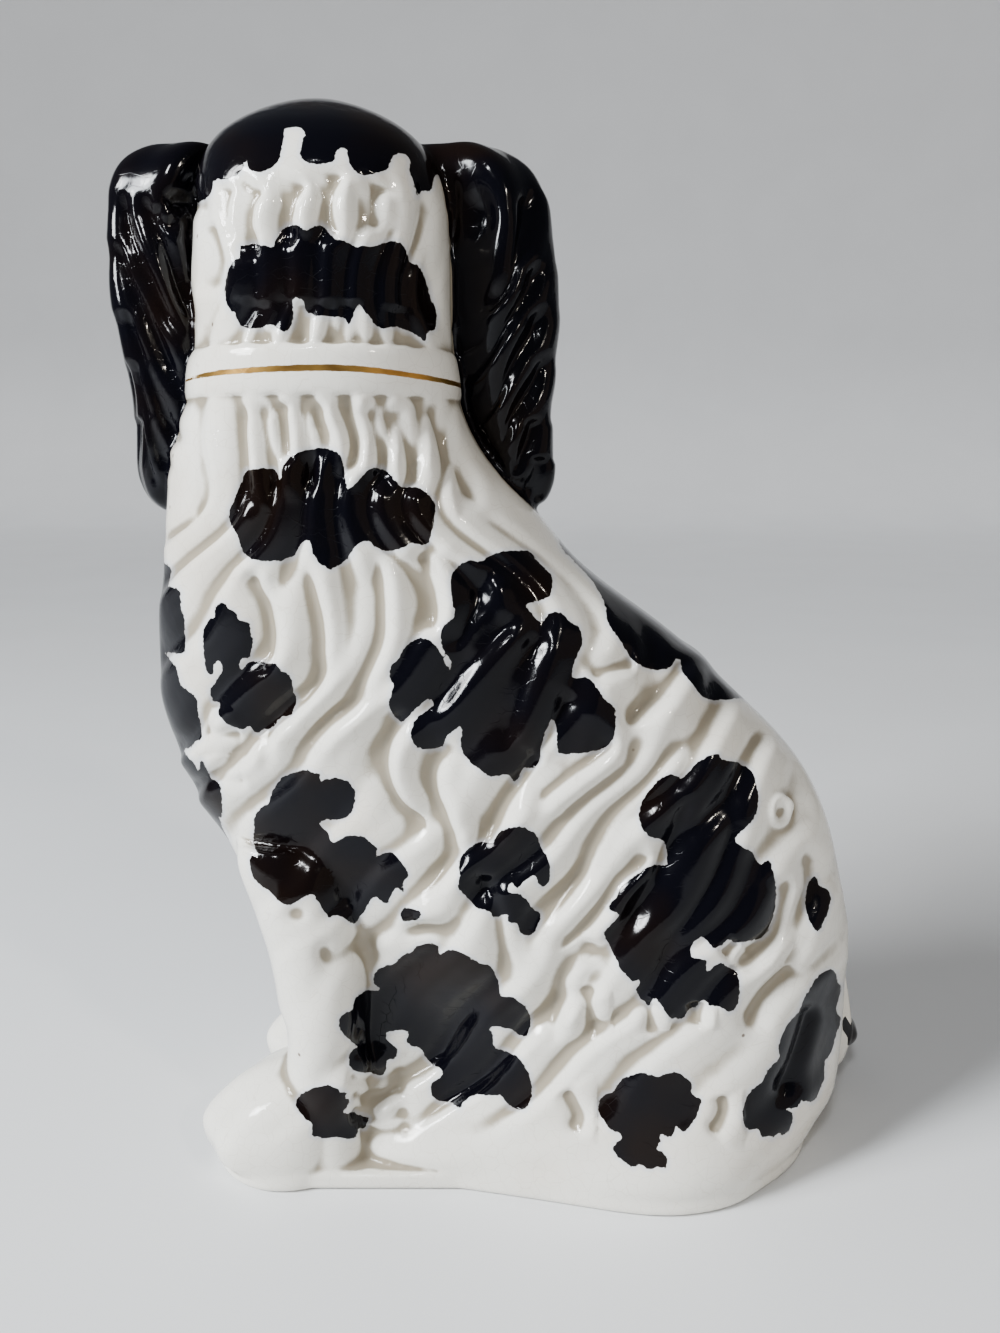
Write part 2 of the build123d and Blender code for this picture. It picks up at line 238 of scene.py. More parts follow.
HAUNCH = (
    (669, 775), (659, 780), (651, 788), (644, 798), (639, 813), (641, 825), (649, 836), (664, 842),
    (667, 864), (653, 865), (639, 873), (622, 886), (616, 898), (608, 908), (619, 915), (604, 932),
    (609, 944), (616, 958), (620, 967), (626, 975), (633, 981), (638, 979), (640, 984), (636, 989),
    (640, 998), (645, 1002), (649, 1006), (652, 1000), (656, 998), (660, 1004), (664, 1010), (671, 1019),
    (676, 1017), (680, 1019), (686, 1015), (690, 1008), (696, 1007), (699, 1002), (704, 1000),
    (707, 1002), (708, 1006), (718, 1006), (723, 1008), (729, 1012), (734, 1010), (738, 1002),
    (740, 992), (739, 982), (737, 972), (730, 968), (725, 965), (721, 963), (714, 966), (707, 972),
    (707, 963), (705, 960), (698, 959), (691, 957), (690, 949), (693, 943), (698, 938), (705, 939),
    (710, 945), (715, 948), (722, 945), (729, 939), (733, 942), (742, 942), (752, 940), (762, 937),
    (768, 930), (775, 908), (776, 887), (772, 869), (768, 860), (759, 864), (752, 852), (743, 847),
    (735, 839), (746, 827), (755, 817), (758, 800), (757, 788), (754, 775), (746, 767), (736, 762),
    (721, 759), (718, 754), (707, 757), (695, 765), (682, 778), (678, 776),
)
RIGHT_DOT = (
    (816, 876), (819, 885), (827, 890), (831, 900), (826, 917), (818, 931), (810, 921), (805, 906),
    (807, 887), (811, 879),
)
RUMP_STRIP = (
    (822, 790), (827, 800), (831, 815), (836, 832), (838, 856), (843, 877), (848, 893), (852, 908),
    (853, 949), (851, 965), (880, 960), (885, 860), (840, 780),
)
KNEE = (
    (431, 943), (418, 946), (411, 952), (401, 956), (395, 963), (382, 967), (374, 974), (374, 983),
    (380, 990), (365, 991), (355, 999), (352, 1010), (341, 1016), (339, 1027), (347, 1038),
    (357, 1046), (350, 1053), (349, 1064), (357, 1072), (372, 1073), (382, 1076), (386, 1068),
    (387, 1060), (395, 1058), (397, 1049), (388, 1041), (386, 1033), (394, 1031), (408, 1031),
    (407, 1041), (412, 1046), (420, 1048), (425, 1056), (432, 1064), (443, 1071), (440, 1078),
    (431, 1084), (432, 1095), (440, 1101), (452, 1103), (460, 1109), (464, 1101), (477, 1094),
    (489, 1096), (500, 1095), (508, 1105), (515, 1108), (524, 1109), (529, 1103), (532, 1091),
    (529, 1074), (520, 1060), (506, 1051), (494, 1047), (493, 1035), (490, 1027), (502, 1027),
    (512, 1030), (524, 1037), (529, 1031), (530, 1018), (525, 1006), (512, 997), (501, 996),
    (498, 981), (491, 967), (479, 963), (467, 956), (454, 950), (444, 952), (440, 955), (438, 947),
)
LOW_HAUNCH = (
    (613, 1092), (618, 1083), (628, 1076), (641, 1073), (650, 1075), (658, 1077), (666, 1074),
    (675, 1072), (681, 1074), (686, 1078), (692, 1083), (692, 1094), (701, 1100), (699, 1109),
    (696, 1117), (691, 1125), (683, 1132), (679, 1128), (676, 1126), (674, 1133), (670, 1137),
    (660, 1134), (660, 1142), (657, 1148), (661, 1151), (666, 1157), (667, 1165), (664, 1169),
    (657, 1166), (650, 1169), (644, 1166), (638, 1164), (634, 1167), (628, 1164), (622, 1159),
    (616, 1155), (613, 1148), (616, 1142), (621, 1140), (620, 1134), (610, 1129), (605, 1122),
    (600, 1115), (598, 1107), (601, 1098), (607, 1094),
)
LOW_RUMP = (
    (828, 970), (835, 972), (838, 983), (841, 985), (840, 994), (836, 1010), (841, 1019), (837, 1032),
    (832, 1050), (825, 1062), (824, 1078), (820, 1090), (814, 1101), (803, 1101), (801, 1099),
    (797, 1107), (786, 1109), (792, 1113), (792, 1122), (789, 1130), (783, 1136), (779, 1133),
    (772, 1139), (769, 1136), (762, 1137), (758, 1129), (749, 1130), (744, 1123), (743, 1112),
    (745, 1101), (750, 1092), (761, 1083), (768, 1070), (779, 1058), (778, 1048), (780, 1040),
    (788, 1024), (798, 1013), (806, 994), (817, 978),
)
LOW_LEG = (
    (296, 1103), (298, 1098), (303, 1093), (311, 1089), (318, 1087), (328, 1085), (333, 1087),
    (338, 1089), (341, 1092), (347, 1093), (346, 1098), (350, 1100), (348, 1106), (343, 1112),
    (348, 1113), (354, 1112), (360, 1115), (368, 1118), (367, 1123), (365, 1128), (360, 1128),
    (358, 1131), (355, 1137), (349, 1139), (342, 1138), (333, 1137), (326, 1138), (318, 1137),
    (312, 1135), (312, 1123), (307, 1121), (301, 1113), (297, 1108),
)
NEAR_PATCHES = (
    HEAD_CAP, HEAD_BACK, NECK, CHEST_EDGE, CHEST_PAIR, SHOULDER, SPINE, UPPER_LEG, TINY_DOT, SMALL_DOT,
    HAUNCH, RIGHT_DOT, RUMP_STRIP, KNEE, LOW_HAUNCH, LOW_RUMP, LOW_LEG,
)

# Enamel patches on the far side, outlined as they would look in a mirror behind the figure
FAR_CROWN = (
    (193, 205), (205, 232), (226, 236), (243, 222), (262, 212), (284, 206), (300, 190), (312, 160),
    (318, 140), (330, 140), (338, 162), (350, 190), (368, 208), (392, 214), (410, 226), (430, 238),
    (446, 232), (462, 210), (475, 190), (470, 60), (330, 20), (180, 60), (175, 180),
)
# The far side's other patches: the shape that each repeats, turned about, and the middle of its place
FAR_PLACES = (
    (NECK, (318, 522)), (SHOULDER, (500, 668)), (UPPER_LEG, (322, 846)), (SMALL_DOT, (536, 862)),
    (HAUNCH, (706, 884)), (KNEE, (452, 1062)), (LOW_HAUNCH, (716, 1080)), (TINY_DOT, (596, 1010)),
    (CHEST_PAIR, (404, 756)),
)

# Furrows between the locks of fur in the photograph's pixels: depth in millimetres, width in pixels, line
FURROWS = (
    (1.7, 19, ((262, 180), (250, 200), (246, 220), (250, 240), (258, 262))),
    (1.7, 19, ((305, 175), (292, 200), (288, 225), (296, 250))),
    (1.7, 19, ((340, 165), (330, 195), (330, 220), (338, 245))),
    (1.7, 19, ((385, 180), (375, 200), (378, 235))),
    (1.0, 15, ((440, 190), (428, 230), (428, 260), (432, 330))),
    (1.3, 15, ((228, 178), (222, 215), (235, 250))),
    (1.1, 13, ((205, 215), (215, 260), (208, 300))),
    (1.0, 14, ((262, 300), (258, 325), (262, 350))),
    (1.0, 14, ((305, 300), (300, 325), (304, 350))),
    (1.0, 14, ((330, 300), (328, 325), (332, 350))),
    (1.0, 14, ((355, 300), (353, 325), (357, 350))),
    (1.0, 14, ((400, 305), (398, 328), (402, 350))),
    (1.2, 11, ((244, 398), (240, 430), (246, 470), (252, 520))),
    (1.5, 11, ((262, 398), (262, 425), (266, 450), (274, 510))),
    (1.5, 11, ((284, 398), (284, 430), (292, 470))),
    (1.5, 11, ((300, 395), (303, 420), (306, 440), (312, 500))),
    (1.5, 11, ((318, 395), (320, 420), (328, 440), (334, 500))),
    (1.5, 11, ((340, 395), (346, 420), (354, 445), (352, 480))),
    (1.5, 12, ((366, 400), (372, 425), (380, 450), (392, 500))),
    (1.5, 12, ((392, 400), (398, 425), (408, 450), (420, 500))),
    (1.5, 12, ((426, 394), (440, 430), (460, 470), (484, 512))),
    (1.8, 18, ((248, 565), (254, 590), (262, 615), (266, 645), (262, 680))),
    (
        2.0, 20,
        ((303, 548), (306, 575), (312, 600), (317, 625), (318, 650), (312, 690), (290, 715), (270, 730),
         (264, 755), (268, 780)),
    ),
    (
        2.0, 20,
        ((372, 545), (378, 580), (380, 610), (378, 640), (366, 670), (350, 700), (325, 720), (300, 745),
         (290, 770)),
    ),
    (1.8, 18, ((420, 545), (428, 575), (433, 605), (432, 640))),
    (
        2.0, 18,
        ((410, 705), (392, 728), (384, 752), (386, 780), (398, 805), (420, 825), (440, 845)),
    ),
    (
        2.0, 20,
        ((460, 740), (440, 755), (430, 775), (432, 800), (445, 825), (450, 850), (440, 875), (425, 895),
         (415, 910)),
    ),
    (2.0, 20, ((545, 745), (525, 775), (505, 800), (492, 825), (480, 850))),
    (2.0, 20, ((620, 735), (595, 757), (565, 778), (540, 797), (528, 815))),
    (
        2.0, 22,
        ((700, 725), (670, 755), (645, 785), (612, 815), (592, 845), (580, 875), (565, 900), (540, 930),
         (520, 950)),
    ),
    (1.8, 18, ((690, 650), (665, 690), (640, 712), (620, 732))),
    (1.4, 14, ((640, 662), (610, 668), (588, 680))),
    (
        2.0, 20,
        ((660, 850), (640, 865), (618, 882), (600, 908), (582, 930), (560, 950), (540, 965)),
    ),
    (2.0, 20, ((604, 940), (572, 962), (556, 1000), (552, 1050))),
    (1.4, 7, ((588, 985), (588, 1010), (594, 1040))),
    (1.4, 7, ((650, 1000), (649, 1015), (652, 1038))),
    (1.4, 7, ((697, 1003), (697, 1030))),
    (1.4, 10, ((740, 940), (722, 958))),
    (1.6, 14, ((800, 960), (775, 985), (757, 1012), (747, 1038))),
    (1.8, 18, ((790, 870), (787, 905), (775, 940), (752, 962), (730, 978))),
    (1.6, 14, ((800, 840), (812, 870), (803, 920), (790, 960), (768, 992))),
    (1.6, 14, ((820, 1000), (805, 1040), (790, 1080), (778, 1110))),
    (1.4, 8, ((720, 1093), (723, 1108), (719, 1122), (708, 1136))),
    (1.4, 8, ((562, 1088), (572, 1105), (576, 1120), (570, 1136))),
    (1.3, 13, ((520, 612), (492, 640), (458, 680), (424, 722))),
    (1.3, 13, ((546, 628), (530, 670), (512, 720), (502, 764))),
    (1.3, 13, ((574, 690), (560, 716), (538, 752), (520, 775))),
    (1.2, 12, ((488, 566), (478, 600), (462, 632), (450, 660))),
    (1.2, 13, ((470, 868), (486, 890), (498, 920), (502, 960), (500, 990))),
    (1.2, 13, ((690, 790), (676, 830), (662, 866), (640, 900), (626, 940))),
    (1.2, 13, ((734, 790), (730, 834), (716, 876), (694, 912), (668, 950), (656, 990))),
    (1.1, 10, ((344, 1075), (376, 1081), (408, 1072))),
    (1.1, 10, ((348, 1094), (382, 1099), (412, 1086))),
    (1.1, 10, ((350, 1112), (386, 1120), (412, 1106))),
    (1.0, 10, ((356, 1130), (392, 1132), (412, 1119))),
    (1.0, 9, ((200, 732), (222, 735), (245, 735))),
    (1.0, 9, ((205, 783), (228, 782), (250, 779))),
)

# Furrows between the twisted locks of the ears, in the same form
EAR_FURROWS = (
    (2.4, 12, ((150, 205), (158, 218), (170, 224), (182, 222))),
    (2.4, 12, ((140, 190), (146, 210), (160, 235), (172, 262), (184, 300), (190, 330))),
    (2.4, 12, ((122, 185), (124, 215), (134, 250), (148, 280), (163, 310), (182, 345))),
    (2.4, 12, ((114, 230), (120, 262), (134, 292), (150, 325), (165, 360), (182, 400))),
    (2.4, 12, ((122, 300), (130, 330), (142, 360), (156, 395), (168, 425), (182, 455))),
    (2.4, 12, ((130, 350), (136, 385), (146, 415), (158, 450), (168, 485))),
    (2.2, 11, ((134, 410), (140, 445), (150, 475), (160, 495))),
    (2.4, 12, ((530, 180), (530, 215), (524, 245), (512, 280), (495, 300), (470, 318))),
    (2.4, 12, ((538, 255), (532, 285), (518, 310), (500, 335), (478, 365), (465, 385))),
    (2.4, 12, ((541, 300), (536, 330), (522, 355), (505, 385), (488, 410), (475, 430))),
    (2.4, 12, ((548, 350), (540, 375), (525, 400), (510, 425), (500, 445), (490, 460))),
    (2.2, 11, ((535, 415), (530, 440), (520, 465), (512, 480))),
    (2.2, 11, ((541, 455), (535, 480), (525, 498))),
)

# Hollows pressed with a thumb or a tool: depth in millimetres, reach across and down in pixels, middle
DENTS = (
    (2.6, 20, 12, (178, 203)),
    (3.0, 16, 26, (482, 212)),
    (1.8, 10, 12, (325, 955)),
    (1.6, 12, 10, (295, 915)),
    (2.0, 12, 14, (372, 955)),
    (2.6, 24, 9, (420, 932)),
    (1.6, 16, 40, (402, 1086)),
    (1.2, 10, 20, (232, 758)),
    (-1.2, 8, 14, (258, 752)),
    (-1.4, 22, 9, (428, 912)),
    (-1.0, 14, 20, (700, 660)),
)

# Paint strokes of the face in millimetres: half width, then a line of places out from the head's middle
# and up from the table, each drawn on both sides
FACE_STROKES = (
    (0.55, ((10.2, 286.2), (12.6, 290.0), (16.0, 291.9), (19.6, 290.4), (22.6, 286.6))),
    (0.40, ((10.2, 286.2), (13.0, 284.4), (16.2, 283.8), (19.6, 284.8), (22.6, 286.6))),
    (0.60, ((9.4, 295.4), (12.6, 298.6), (17.0, 299.6), (21.6, 297.4))),
    (0.35, ((11.6, 299.6), (12.4, 302.2))),
    (0.35, ((15.0, 301.2), (15.8, 303.8))),
    (0.35, ((18.8, 301.0), (20.2, 303.2))),
    (0.50, ((0.0, 268.0), (0.0, 264.5), (0.0, 260.6))),
    (0.50, ((0.0, 260.6), (3.4, 257.6), (8.0, 257.4), (12.6, 260.6))),
    (0.35, ((2.2, 254.0), (4.8, 252.6))),
)
IRIS_PLACE = (16.0, 287.9)
IRIS_RADIUS = 3.7
PUPIL_RADIUS = 2.0
NOSE_PLACE = (0.0, 272.4)
NOSE_REACH = (7.0, 4.6)

# Whisker dots on each side of the muzzle, out and up in millimetres
WHISKER_DOTS = (
    (5.0, 266.4), (8.2, 267.4), (11.4, 267.0),
    (4.6, 263.2), (7.8, 263.8), (11.0, 263.6), (13.6, 262.2),
    (6.2, 260.6), (9.4, 260.9),
)

# The face's modelling, in millimetres: rise, then the middle out and up, then the reach across and up
FACE_SWELLS = (
    (-1.8, (15.5, 287.5), (9.5, 8.0)),
    (2.3, (16.2, 287.9), (5.2, 4.2)),
    (1.6, (16.5, 297.5), (8.5, 3.4)),
    (1.8, (20.0, 266.0), (8.0, 9.0)),
    (1.4, (7.6, 262.6), (6.0, 5.0)),
    (0.9, (0.0, 253.6), (6.0, 3.0)),
    (-1.1, (0.0, 292.0), (3.6, 11.0)),
    (1.3, (0.0, 273.0), (6.6, 3.6)),
    (-0.9, (0.0, 263.6), (1.3, 4.4)),
    (-0.8, (8.0, 256.6), (7.0, 1.5)),
)


class FigureSizes(bpy.types.PropertyGroup):
    voxel: bpy.props.FloatProperty(
        name="Clay grain", description="Edge of the smallest modelled facet", default=0.85 * MM,
        min=0.3 * MM, subtype="DISTANCE", unit="LENGTH",
    )
    wall: bpy.props.FloatProperty(
        name="Wall", description="Thickness of the pressed clay", default=5.5 * MM, subtype="DISTANCE",
        unit="LENGTH",
    )
    relief: bpy.props.FloatProperty(
        name="Relief", description="How deep the furrows of the coat are, as a share", default=1.5,
        min=0.0, subtype="FACTOR",
    )


class PaintColours(bpy.types.PropertyGroup):
    glaze: bpy.props.FloatVectorProperty(
        name="Glaze", description="Warm white of the glazed body", default=(0.79, 0.775, 0.715), size=3,
        subtype="COLOR",
    )
    # The dark laid in the furrows: partly glaze lying thick in a hollow, partly painted shade
    pooled_glaze_and_shade: bpy.props.FloatVectorProperty(
        name="Pooled glaze", description="Glaze where it lies thick in a hollow",
        default=(0.31, 0.275, 0.215), size=3, subtype="COLOR",
    )
    enamel: bpy.props.FloatVectorProperty(
        name="Enamel", description="Blue-black of the painted patches", default=(0.004, 0.004, 0.007),
        size=3, subtype="COLOR",
    )
    gilding: bpy.props.FloatVectorProperty(
        name="Gilding", description="Worn gold of the collar line", default=(0.62, 0.38, 0.13), size=3,
        subtype="COLOR",
    )


# Places and lines

def photo_places(points):
    """Where points in metres lie in the photograph, in pixels, and how many metres a pixel spans there."""
    away = points - CAMERA
    ahead = away[:, 1] * math.cos(CAMERA_PITCH) - away[:, 2] * math.sin(CAMERA_PITCH)
    above = away[:, 1] * math.sin(CAMERA_PITCH) + away[:, 2] * math.cos(CAMERA_PITCH)
    scale = PHOTO_FOCAL / ahead
    across = PHOTO_WIDTH / 2 + away[:, 0] * scale
    down = PHOTO_HEIGHT / 2 - above * scale
    return np.stack([across, down], axis=1), 1 / scale


def mirrored_near(points):
    """The points with those of the far side brought to the near side, as in a mirror."""
    turned = points.copy()
    turned[:, 1] = PARTING - np.abs(points[:, 1] - PARTING)
    return turned


def smooth_line(corners, closed, steps=5):
    """A smooth line through given corners."""
    corners = np.array(corners, float)
    if closed:
        ring = np.concatenate([corners[-1:], corners, corners[:2]])
    else:
        ring = np.concatenate([corners[:1], corners, corners[-1:]])
    line = []
    for a, b, c, d in zip(ring[:-3], ring[1:-2], ring[2:-1], ring[3:]):
        for t in np.arange(steps) / steps:
            line.append(
                0.5 * (2 * b + (c - a) * t + (2 * a - 5 * b + 4 * c - d) * t**2
                       + (3 * b - a - 3 * c + d) * t**3)
            )
    line.append(ring[1] if closed else corners[-1])
    return np.array(line)


def line_distance(places, line):
    """Each place's distance from a line, its share of the way along it, and whether it is at its left."""
    best = np.full(len(places), np.inf)
    along = np.zeros(len(places))
    left = np.zeros(len(places), bool)
    lengths = np.linalg.norm(np.diff(line, axis=0), axis=1)
    starts = np.concatenate([[0], np.cumsum(lengths)])
    for i, length in enumerate(lengths):
        step = (line[i + 1] - line[i]) / length
        away = places - line[i]
        part = np.clip(away @ step, 0, length)
        gap = np.linalg.norm(away - part[:, None] * step, axis=1)
        nearer = gap < best
        best[nearer] = gap[nearer]
        along[nearer] = (starts[i] + part[nearer]) / starts[-1]
        left[nearer] = (step[0] * away[nearer, 1] - step[1] * away[nearer, 0]) > 0
    return best, along, left


def inside(places, line):
    """Whether each place lies inside a closed line."""
    odd = np.zeros(len(places), bool)
    for (x0, y0), (x1, y1) in zip(line[:-1], line[1:]):
        if y0 != y1:
            crosses = (places[:, 1] > y0) != (places[:, 1] > y1)
            reach = x0 + (places[:, 1] - y0) * (x1 - x0) / (y1 - y0)
            odd ^= crosses & (places[:, 0] < reach)
    return odd


def patch_depth(places, patches, reach=30):
    """How far inside the nearest patch each place lies, in pixels, and below zero outside."""
    depth = np.full(len(places), -float(reach))
    for corners in patches:
        line = smooth_line(corners, True, 3)
        low, high = line.min(axis=0) - reach, line.max(axis=0) + reach
        near = np.where(np.all((places > low) & (places < high), axis=1))[0]
        if len(near):
            gap = line_distance(places[near], line)[0]
            signed = np.where(inside(places[near], line), gap, -gap)
            depth[near] = np.maximum(depth[near], signed)
    return depth


def turned_about(corners, middle):
    """A patch flipped from left to right and moved to another middle."""
    corners = np.array(corners, float)
    own = (corners.min(axis=0) + corners.max(axis=0)) / 2
    return np.array(middle) + (corners - own) * (-1, 1)


def smooth_step(value, low, high):
    share = np.clip((value - low) / (high - low), 0, 1)
    return share * share * (3 - 2 * share)


# Meshes as arrays

def gathered(items, key, width, kind):
    """One property of a mesh's items, as rows of an array."""
    flat = np.zeros(len(items) * width, kind)
    items.foreach_get(key, flat)
    return flat.reshape(-1, width)


def points_of(mesh):
    return gathered(mesh.vertices, "co", 3, np.float32).astype(float)


def normals_of(mesh):
    return gathered(mesh.vertex_normals, "vector", 3, np.float32).astype(float)


def edges_of(mesh):
    return gathered(mesh.edges, "vertices", 2, np.int32)


def set_points(mesh, points):
    mesh.vertices.foreach_set("co", points.astype(np.float32).ravel())
    mesh.update()


def neighbour_mean(values, edges):
    """The mean of each vertex's neighbours."""
    count = np.bincount(edges.ravel(), minlength=len(values))
    total = np.stack(
        [
            np.bincount(edges[:, 0], weights=column[edges[:, 1]], minlength=len(values))
            + np.bincount(edges[:, 1], weights=column[edges[:, 0]], minlength=len(values))
            for column in values.T
        ],
        axis=1,
    )
    return total / np.maximum(count, 1)[:, None]


def relax(values, edges, rounds, share=0.5):
    for _ in range(rounds):
        values = values + share * (neighbour_mean(values, edges) - values)
    return values


def linked(name, data):
    """An object in the scene that holds a mesh, a light or a camera."""
    made = bpy.data.objects.new(name, data)
    bpy.context.scene.collection.objects.link(made)
    return made


def evaluated(piece, name):
    """A plain mesh of an object as its modifiers leave it."""
    ready = piece.evaluated_get(bpy.context.evaluated_depsgraph_get())
    mesh = bpy.data.meshes.new_from_object(ready)
    mesh.name = name
    return mesh


def joined_nodes(names, name):
    """One mesh of copies of CAD nodes."""
    points, faces, start = [], [], 0
    for node in names:
        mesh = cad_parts[node].data
        points.append(points_of(mesh))
        mesh.calc_loop_triangles()
        faces.append(gathered(mesh.loop_triangles, "vertices", 3, np.int32) + start)
        start += len(mesh.vertices)
    joined = bpy.data.meshes.new(name)
    joined.from_pydata(np.concatenate(points).tolist(), [], np.concatenate(faces).tolist())
    return joined


def remeshed(mesh, voxel, name):
    """The outer skin of a mesh on an even grid."""
    piece = linked(name, mesh)
    change = piece.modifiers.new("Even skin", "REMESH")
    change.mode = "VOXEL"
    change.voxel_size = voxel
    skin = evaluated(piece, name)
    bpy.data.objects.remove(piece)
    return skin


def ball(centre, radius):
    """The corners and faces of a small ball."""
    rows, columns = 8, 12
    points = [(centre[0], centre[1], centre[2] - radius)]
    for row in range(1, rows):
        tilt = math.pi * row / rows
        for column in range(columns):
            turn = 2 * math.pi * column / columns
            points.append(
                (
                    centre[0] + radius * math.sin(tilt) * math.cos(turn),
                    centre[1] + radius * math.sin(tilt) * math.sin(turn),
                    centre[2] - radius * math.cos(tilt),
                )
            )
    points.append((centre[0], centre[1], centre[2] + radius))
    faces = []
    for column in range(columns):
        beside = (column + 1) % columns
        faces.append((0, 1 + beside, 1 + column))
        for row in range(rows - 2):
            low, high = 1 + row * columns, 1 + (row + 1) * columns
            faces.append((low + column, low + beside, high + beside))
            faces.append((low + column, high + beside, high + column))
        low = 1 + (rows - 2) * columns
        faces.append((low + column, low + beside, len(points) - 1))
    return points, faces


def vent_place():
    """The middle of the vent's mouth: the near shell's point that the photograph shows there."""
    points = points_of(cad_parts["back_shell"].data)
    places = photo_places(points)[0]
    gaps = np.linalg.norm(places - np.array(VENT_PIXEL), axis=1)
    near = points[gaps < VENT_SEARCH]
    return near[np.argmin(near[:, 1])]


def clay_mesh(names, name):
    """One mesh of copies of CAD nodes, with the vent plugged so that the skin stays outside."""
    joined = joined_nodes(names, name)
    wall = bpy.context.scene.figure_sizes.wall
    centre = vent_place() + np.array([0, wall / 2, 0])
    plug_points, plug_faces = ball(centre, wall * 0.8)
    points = points_of(joined)
    joined_faces = gathered(joined.polygons, "vertices", 3, np.int32)
    faces = np.concatenate([joined_faces, np.array(plug_faces) + len(points)])
    whole = bpy.data.meshes.new(name)
    whole.from_pydata(np.concatenate([points, plug_points]).tolist(), [], faces.tolist())
    return whole


# Modelling the clay

def furrow_relief(places, furrows, sharp):
    """The coat's relief in metres: a long slope into each furrow from its left, and a crest beyond it."""
    depth = np.zeros(len(places))
    crest = np.zeros(len(places))
    for deep, width, corners in furrows:
        line = smooth_line(corners, False)
        reach = 2.6 * width
        low, high = line.min(axis=0) - reach, line.max(axis=0) + reach
        near = np.where(np.all((places > low) & (places < high), axis=1))[0]
        gap, along, left = line_distance(places[near], line)
        slope = np.where(left, np.exp(-((gap / width) ** 1.5)), np.exp(-((gap / sharp) ** 1.8)))
        fade = smooth_step(along, 0.0, 0.16) * smooth_step(1 - along, 0.0, 0.24)
        depth[near] = np.maximum(depth[near], deep * MM * slope * fade)
        back = np.exp(-(((gap - 2 * sharp) / (1.3 * sharp)) ** 2)) * ~left
        crest[near] = np.maximum(crest[near], 0.34 * deep * MM * back * fade)
    return crest - depth


def combed_relief(places):
    """The even folds that the comb left over the whole coat, in metres, between the deeper furrows."""
    x, y = places.T
    upright = x - 290
    slanting = 0.7 * (x - 470) + 0.7 * (y - 640) + 180
    turn = (upright - slanting) / 2
    across = (upright + slanting) / 2 + np.sqrt(turn**2 + 30**2)
    across += 9 * np.sin(y / 34 + x / 80) + 4 * np.sin(y / 19 - x / 60)
    body = smooth_step(y, 480, 640)
    phase = 2 * math.pi * across / (34 + 22 * body)
    folds = (0.6 + 0.4 * body) * (np.sin(phase) + 0.25 * np.sin(2 * phase + 0.6))
    neck = smooth_step(x, 190, 200) * (1 - smooth_step(x, 452, 466))
    coat = np.maximum(neck, smooth_step(y, 505, 530)) * smooth_step(y, 160, 195)
    leg = (1 - smooth_step(x, 300, 350)) * smooth_step(y, 860, 930)
    plain = np.maximum(0.75 * leg, smooth_step(y, 1090, 1150))
    return 0.9 * MM * folds * (0.75 + 0.25 * np.sin(x / 90 + y / 120)) * coat * (1 - plain)


def dent_depth(places):
    """How deep the pressed hollows are at each place, in metres."""
    depth = np.zeros(len(places))
    for deep, across, down, middle in DENTS:
        share = (places - np.array(middle)) / (across, down)
        depth += deep * MM * np.exp(-np.sum(share**2, axis=1))
    return depth


def face_places(points):
    """Places out from the head's middle and up from the table, in millimetres."""
    return np.stack([np.abs(points[:, 0] - HEAD_ALONG), points[:, 2]], axis=1) / MM


def face_share(points):
    """1 on the face and 0 on the fur round it."""
    share = smooth_step(points[:, 1], PARTING + 8 * MM, PARTING + 18 * MM)
    share *= smooth_step(points[:, 2], 247 * MM, 251 * MM)
    return share * (1 - smooth_step(np.abs(points[:, 0] - HEAD_ALONG), 29 * MM, 35 * MM))


def face_relief(points):
    """The modelling of the face, on the far side of the head, in metres."""
    places = face_places(points)
    relief = np.zeros(len(points))
    for rise, middle, reach in FACE_SWELLS:
        share = (places - middle) / reach
        relief += rise * MM * np.exp(-np.sum(share**2, axis=1))
    return relief * smooth_step(points[:, 1], PARTING + 14 * MM, PARTING + 24 * MM)


def mended_outline(points):
    """The outline brought to the photograph's at the crown, the paws, the rump and the tail's root."""
    moved = points.copy()
    x, z = points[:, 0] / MM, points[:, 2] / MM
    far = smooth_step(points[:, 1], PARTING + 1 * MM, PARTING + 6 * MM)
    # A flatter crown
    moved[:, 2] -= 2.1 * MM * smooth_step(z, 300, 319)
    # Longer toes and thicker ankles
    front = 1 - smooth_step(x, -80, -60)
    toe = -3.2 * smooth_step(z, 4, 8) * (1 - smooth_step(z, 12, 24))
    ankle = 2.8 * smooth_step(z, 26, 44) * (1 - smooth_step(z, 47, 58))
    moved[:, 0] += (toe + ankle) * front * MM
    # A rounder foot under the rump
    moved[:, 0] -= 3.2 * MM * smooth_step(x, 62, 84) * (1 - smooth_step(z, 10, 24))
    # The far paw a little behind the near one
    far_paw = smooth_step(-x, 52, 93) * (1 - smooth_step(z, 44, 74))
    moved[:, 0] += 10 * MM * far_paw * far
    # The low back drawn in on the near side
    low_back = smooth_step(z, 12, 26) * (1 - smooth_step(z, 54, 76))
    moved[:, 0] -= 2.6 * MM * smooth_step(x, 82, 104) * low_back * (1 - far)
    # The tail's root further out and lower down
    root = smooth_step(x, 92, 106) * far * (1 - smooth_step(z, 40, 75))
    moved[:, 0] += 6.5 * MM * root
    moved[:, 2] -= 0.38 * z * MM * root
    return moved


def collar_share(points):
    """1 on the smooth band round the neck and 0 away from it."""
    place = points[:, 2] / MM
    above = smooth_step(place, COLLAR_LOW - 0.6, COLLAR_LOW + 0.6)
    band = above * (1 - smooth_step(place, COLLAR_HIGH - 0.6, COLLAR_HIGH + 0.6))
    return band * (1 - smooth_step(np.abs(points[:, 0] - HEAD_ALONG), 38.5 * MM, 41 * MM))


def vent_relief(points, centre):
    """The raised ring round the vent and the hollow in it."""
    gap = np.linalg.norm(points - centre, axis=1)
    ring = VENT_RING_RISE * np.exp(-(((gap - VENT_RING) / VENT_RING_REACH) ** 2))
    hole = VENT_DEPTH * np.exp(-((gap / VENT_REACH) ** 2))
    return ring - hole


